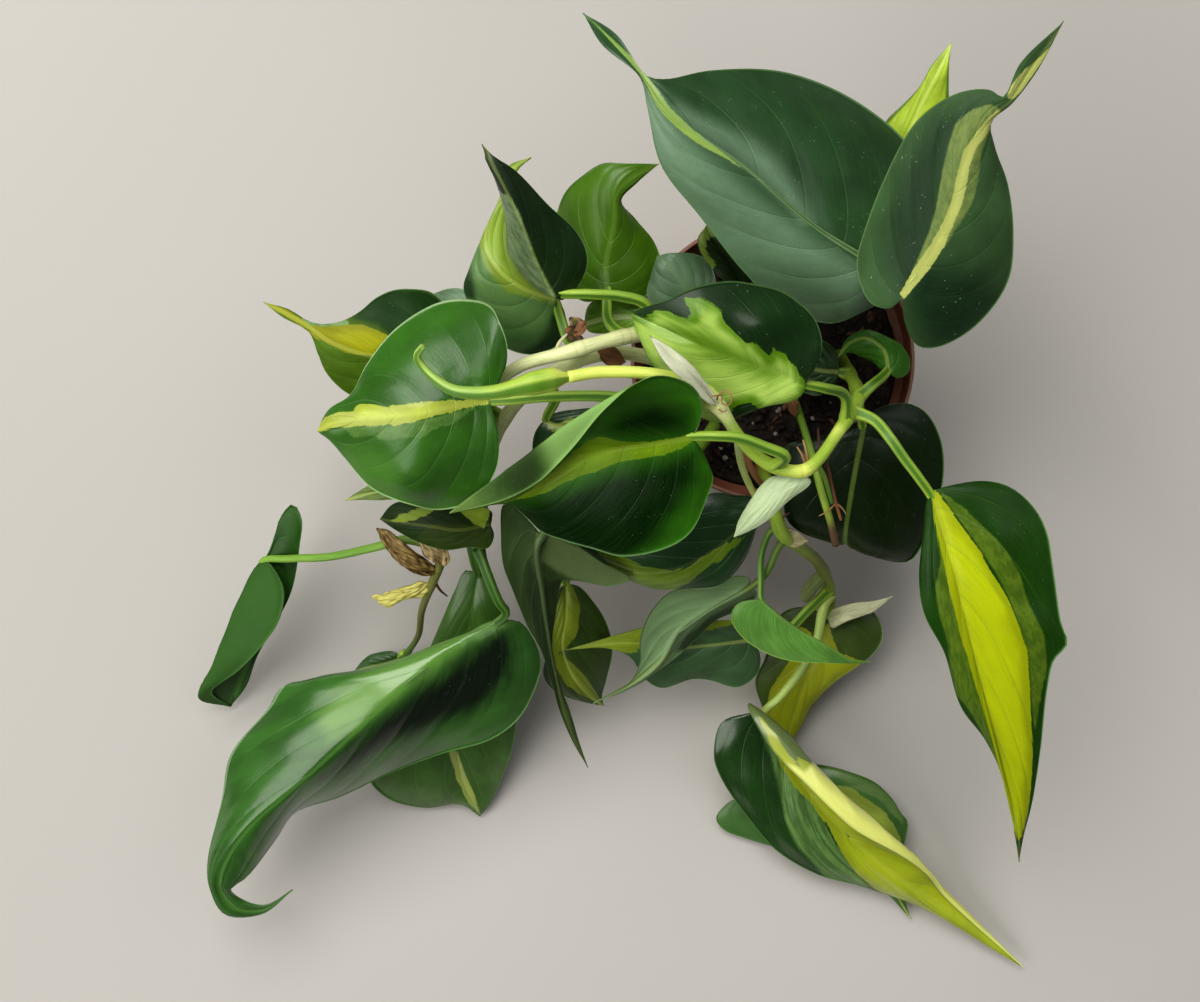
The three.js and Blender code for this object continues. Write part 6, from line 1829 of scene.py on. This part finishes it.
def dress_leaf(name, leaf, stem, seed, stem_look):
    """A blade with its markings, and its petiole."""
    look = {**PLAIN, **LOOKS.get(name, {})}
    look.setdefault("lime_low", tuple(0.7 * c for c in look["lime"]))
    fineness = SMALL_BLADE
    if leaf.get("large"):
        fineness = DRIPPING_BLADE if leaf.get("drip") else LARGE_BLADE
    shaping = {key: look[key] for key in ("zones", "relief", "swells")}
    made = blade(leaf, fineness, seed, **shaping).joined(petiole(leaf, stem, look, seed), 1)
    looks = [leaf_skin(f"{name}_skin", look), stem_look]
    piece(f"{name}_fine", made, looks, slot_of(name), name)


def petiole(leaf, stem, look, seed):
    """A petiole from its stem to the blade, that runs on under the midrib as a keel."""
    lines = blade_lines(leaf)
    rib = lines["rib"][0]
    places = [seen(place) for place in leaf["petiole"]]
    start = stem.at(stem.nearest(places[0] if places else rib.at(0)[0]))[0]
    edges = lines["right"][0].at(0.3)[0] - lines["left"][0].at(0.3)[0]
    facing = unit(np.cross(edges, rib.ahead(0.02)[0]))
    below = look["sunk"] * np.outer(KEEL_DEPTHS, facing)
    curve = Curve([start, *places, *(rib.at([0.02, KEEL_SHARE / 2, KEEL_SHARE]) - below)])
    joint = curve.share_of(len(places) + 1)
    base, top = look["slim"] * PETIOLE_BASE, look["slim"] * PETIOLE_TOP

    def radius_at(share):
        if share < joint:
            flare = 1 + FLARE * bell(share * curve.length, FLARE_WIDTH)
            return (base + (top - base) * share / joint) * flare
        return top + (KEEL_END - top) * ((share - joint) / (1 - joint)) ** 0.5

    shaded = tuple(0.5 * (a + b) for a, b in zip(look["petiole"], BRIGHT))
    plain = look["petiole"]
    tints = [(0, plain), (0.5 * joint, shaded), (joint, plain), (joint + 0.03, look["keel"])]
    return stalk(
        curve, radius_at, PETIOLE_SIDES, PETIOLE_STRIDE, tints,
        facing=facing, channel=look["channel"], seed=seed,
    )


def dress_sheath(name, sheath, seed):
    crumple = CRUMPLED if name.startswith("sheath_left") else CRISP
    made = blade(sheath, SHEATH_BLADE, seed, half=PAPER_HALF, relief=0.5, crumple=crumple)
    piece(f"{name}_fine", made, [paper_skin(f"{name}_skin", *SHEATH_LOOKS[name])], slot_of(name), name)


def dress_new_leaf():
    curve = Curve([seen(place) for place in NEW_LEAF["line"]])
    plain = through(NEW_LEAF["radius"])

    def radius_at(share):
        return plain(share) * min(1.0, ROLL_FOOT + ROLL_GAIN * share)

    tints = NEW_LEAF["tints"]
    body = stalk(curve, radius_at, *ROLL_FINENESS, tints, channel=ROLL_CHANNEL, seed=3)
    piece("new_leaf_fine", body, [stem_skin("new_leaf_skin", 0.34)], "new_leaf", "new_leaf")


def dress_roots(look):
    for seed, (name, (first, last, tint, tip, line)) in enumerate(ROOTS.items()):
        curve = Curve([seen(place) for place in line])
        body = stalk(curve, through([first, last]), *ROOT_FINENESS, [(0, tint), (1, tip)], seed=seed)
        piece(name, body, [look], "green_stem" if name == "petiole_low" else "brown_sheath")
    bud = Curve([seen(place) for place in BUD["line"]])
    radius_at = through(BUD["radius"])
    body = stalk(bud, radius_at, *BUD_FINENESS, BUD["tints"], channel=BUD_CHANNEL, seed=5)
    piece("dry_bud", body, [look], "brown_sheath")
    for seed, (name, scrap) in enumerate(SCRAPS.items()):
        skin = paper_skin(f"{name}_skin", *SCRAP_LOOK)
        made = blade(scrap, SCRAP_BLADE, 50 + seed, half=PAPER_HALF, relief=0.6)
        piece(name, made, [skin], "brown_sheath")


def wall_radius(height):
    top = RIM_RADIUS - COLLAR_STEP - WALL
    return BASE_RADIUS + (top - BASE_RADIUS) * height / (POT_HEIGHT - COLLAR_HEIGHT)


def pot_outline():
    """The pot's section from the middle of its underside, up the outer wall and down the inner one."""
    collar = POT_HEIGHT - COLLAR_HEIGHT
    inner = RIM_RADIUS - WALL
    throat = wall_radius(collar - 2)
    foot = wall_radius(WALL) - WALL
    return [
        (0, 0), (BASE_RADIUS - 1, 0), (BASE_RADIUS - 0.3, 0.3), (BASE_RADIUS, 1),
        *((wall_radius(h), h) for h in np.linspace(6, collar - 2.4, 12)),
        (throat, collar - 1.9), (RIM_RADIUS - 1.0, collar - 0.3), (RIM_RADIUS - 0.6, collar + 0.2),
        (RIM_RADIUS - 0.35, collar + 3), (RIM_RADIUS - 0.1, POT_HEIGHT - 2.4),
        (RIM_RADIUS, POT_HEIGHT - 1.4), (RIM_RADIUS - 0.15, POT_HEIGHT - 0.5),
        (RIM_RADIUS - 0.6, POT_HEIGHT), (inner + 0.1, POT_HEIGHT),
        (inner - 0.2, POT_HEIGHT - 0.5), (inner - 0.6, collar + 1),
        (throat - WALL, collar - 1), (foot, WALL + 0.4), (foot - 0.4, WALL), (0, WALL),
    ]


def dress_pot():
    made = piece("pot_fine", turned(pot_outline(), POT_SIDES), [pot_skin()], "pot_plastic", "pot")
    section = [(0, -1), (DRAIN_RADIUS, -1), (DRAIN_RADIUS, DRILL_DEPTH), (0, DRILL_DEPTH)]
    drill = turned(section, HOLE_SIDES)
    holes = None
    for turn in turns_of(DRAIN_HOLES):
        aside = [DRAIN_RING * math.cos(turn), DRAIN_RING * math.sin(turn), 0]
        one = Shape(drill.vertices + aside, drill.triangles)
        holes = holes.joined(one) if holes else one
    cutter = solid("holes", holes)
    cut = made.modifiers.new("holes", "BOOLEAN")
    cut.object = cutter
    cut.solver = "EXACT"
    view = bpy.context.evaluated_depsgraph_get()
    baked = bpy.data.meshes.new_from_object(made.evaluated_get(view))
    made.modifiers.clear()
    made.data = baked
    bpy.data.objects.remove(cutter)
    baked.polygons.foreach_set("use_smooth", np.full(len(baked.polygons), True))
    baked.set_sharp_from_angle(angle=math.radians(SHARP_DEGREES))


def soil_height(x, y):
    waves = np.sin(0.21 * x + 0.4) * np.cos(0.17 * y) + 0.6 * np.sin(0.33 * y + 0.11 * x)
    return SOIL_TOP + SOIL_BUMP * waves


def lump(rng, stretch):
    """The corners of a small irregular grain."""
    golden = math.pi * (3 - math.sqrt(5))
    k = np.arange(GRAIN_CORNERS)
    height = 1 - 2 * (k + 0.5) / GRAIN_CORNERS
    flat = np.sqrt(1 - height**2)
    points = np.stack([flat * np.cos(golden * k), flat * np.sin(golden * k), height], -1)
    return points * stretch * rng.uniform(0.72, 1.15, (GRAIN_CORNERS, 1))


def hull_of(points):
    """Triangles of the convex hull of a small cloud of points."""
    mesh = bmesh.new()
    for point in points:
        mesh.verts.new(point)
    bmesh.ops.convex_hull(mesh, input=mesh.verts)
    bmesh.ops.triangulate(mesh, faces=mesh.faces)
    mesh.verts.index_update()
    places = [tuple(v.co) for v in mesh.verts]
    faces = [[v.index for v in face.verts] for face in mesh.faces]
    mesh.free()
    return np.array(places), np.array(faces)


def scatter(rng, count, sizes, stretches, spread):
    """Grains lying in the top of the soil inside the pot."""
    forms = [hull_of(lump(rng, np.array(stretches[k % len(stretches)]))) for k in range(GRAIN_FORMS)]
    vertices, triangles, start = [], [], 0
    for _ in range(count):
        places, faces = forms[rng.integers(len(forms))]
        size = rng.uniform(*sizes)
        turn, _ = np.linalg.qr(rng.normal(size=(3, 3)))
        if np.linalg.det(turn) < 0:
            turn[:, 0] *= -1
        distance = spread * math.sqrt(rng.uniform())
        angle = rng.uniform(0, 2 * math.pi)
        x, y = distance * math.cos(angle), distance * math.sin(angle)
        z = soil_height(x, y) + size * rng.uniform(-0.25, 0.45)
        vertices.append(places * size @ turn.T + [x, y, z])
        triangles.append(faces + start)
        start += len(places)
    return Shape(np.concatenate(vertices), np.concatenate(triangles))


def dress_soil():
    rng = np.random.default_rng(SOIL_SEED)
    turns = turns_of(SOIL_SIDES)
    radii = SOIL_EDGE * (np.arange(SOIL_RINGS, 0, -1) / SOIL_RINGS)
    x, y = radii[:, None] * np.cos(turns), radii[:, None] * np.sin(turns)
    rough = np.zeros_like(x)
    for _ in range(SOIL_WAVES):
        fx, fy = rng.normal(size=2) * SOIL_WAVE_RATE
        rough += math.exp(-0.25 * (fx * fx + fy * fy)) * np.sin(fx * x + fy * y + rng.uniform(0, 6.3))
    z = soil_height(x, y) + SOIL_WAVE * rough - SOIL_SUNK
    z[0] = np.minimum(z[0], SOIL_TOP)
    floor = WALL + BASE_GAP
    low = (wall_radius(floor) - WALL) - WALL_GAP
    base = np.stack([low * np.cos(turns), low * np.sin(turns), np.full(SOIL_SIDES, floor)], -1)
    top = np.stack([x, y, z], -1).reshape(-1, 3)
    vertices = np.concatenate([[[0, 0, floor]], base, top, [[0, 0, soil_height(0, 0) - SOIL_SUNK]]])
    first = 1 + np.arange(SOIL_SIDES)
    last = first + SOIL_RINGS * SOIL_SIDES
    zero = np.zeros(SOIL_SIDES, int)
    triangles = [
        ring_triangles(SOIL_RINGS + 1, SOIL_SIDES, 1),
        np.stack([zero, np.roll(first, -1), first], -1),
        np.stack([last, np.roll(last, -1), zero + len(vertices) - 1], -1),
    ]
    piece("soil_fine", Shape(vertices, np.concatenate(triangles)), [soil_skin()], "potting_soil", "soil")
    for name, grain in GRAINS.items():
        made = scatter(rng, grain["count"], grain["size"], grain["stretches"], grain["spread"])
        skin = grain_skin(f"{name}_skin", *grain["look"])
        piece(name, made, [skin], "potting_soil", smoothed=grain["smoothed"])


def lamp(name, place, width, height, power, colour):
    """A soft rectangular light that faces the plant."""
    light = bpy.data.lights.new(name, "AREA")
    light.shape = "RECTANGLE"
    light.size = width
    light.size_y = height
    light.energy = power
    light.color = colour
    made = added(name, light)
    made.location = place
    made.rotation_euler = (Vector(LIT) - Vector(place)).to_track_quat("-Z", "Y").to_euler()


def set_the_stage():
    bpy.ops.mesh.primitive_plane_add(size=FLOOR_SIZE, location=(0, 0, 0))
    floor = bpy.context.object
    floor.name = "floor"
    floor.data.materials.append(floor_skin())
    for name, settings in LAMPS.items():
        lamp(name, *settings)
    world = bpy.data.worlds.new("studio")
    world.use_nodes = True
    sky = world.node_tree.nodes["Background"]
    sky.inputs["Color"].default_value = SKY_COLOUR
    sky.inputs["Strength"].default_value = SKY_POWER
    scene = bpy.context.scene
    scene.world = world
    scene.view_settings.view_transform = "Standard"
    scene.view_settings.look = "Medium High Contrast"

    camera = bpy.data.cameras.new("camera")
    camera.sensor_fit = "HORIZONTAL"
    camera.sensor_width = SENSOR
    camera.lens = SENSOR * VIEW_FOCUS / (2 * VIEW_CENTRE[0])
    camera.clip_start = 0.01
    made = added("camera", camera)
    made.location = (VIEW_OVER[0] * MM, VIEW_OVER[1] * MM, VIEW_HEIGHT * MM)
    scene.camera = made


set_the_stage()
dress_pot()
dress_soil()
dress_plant()
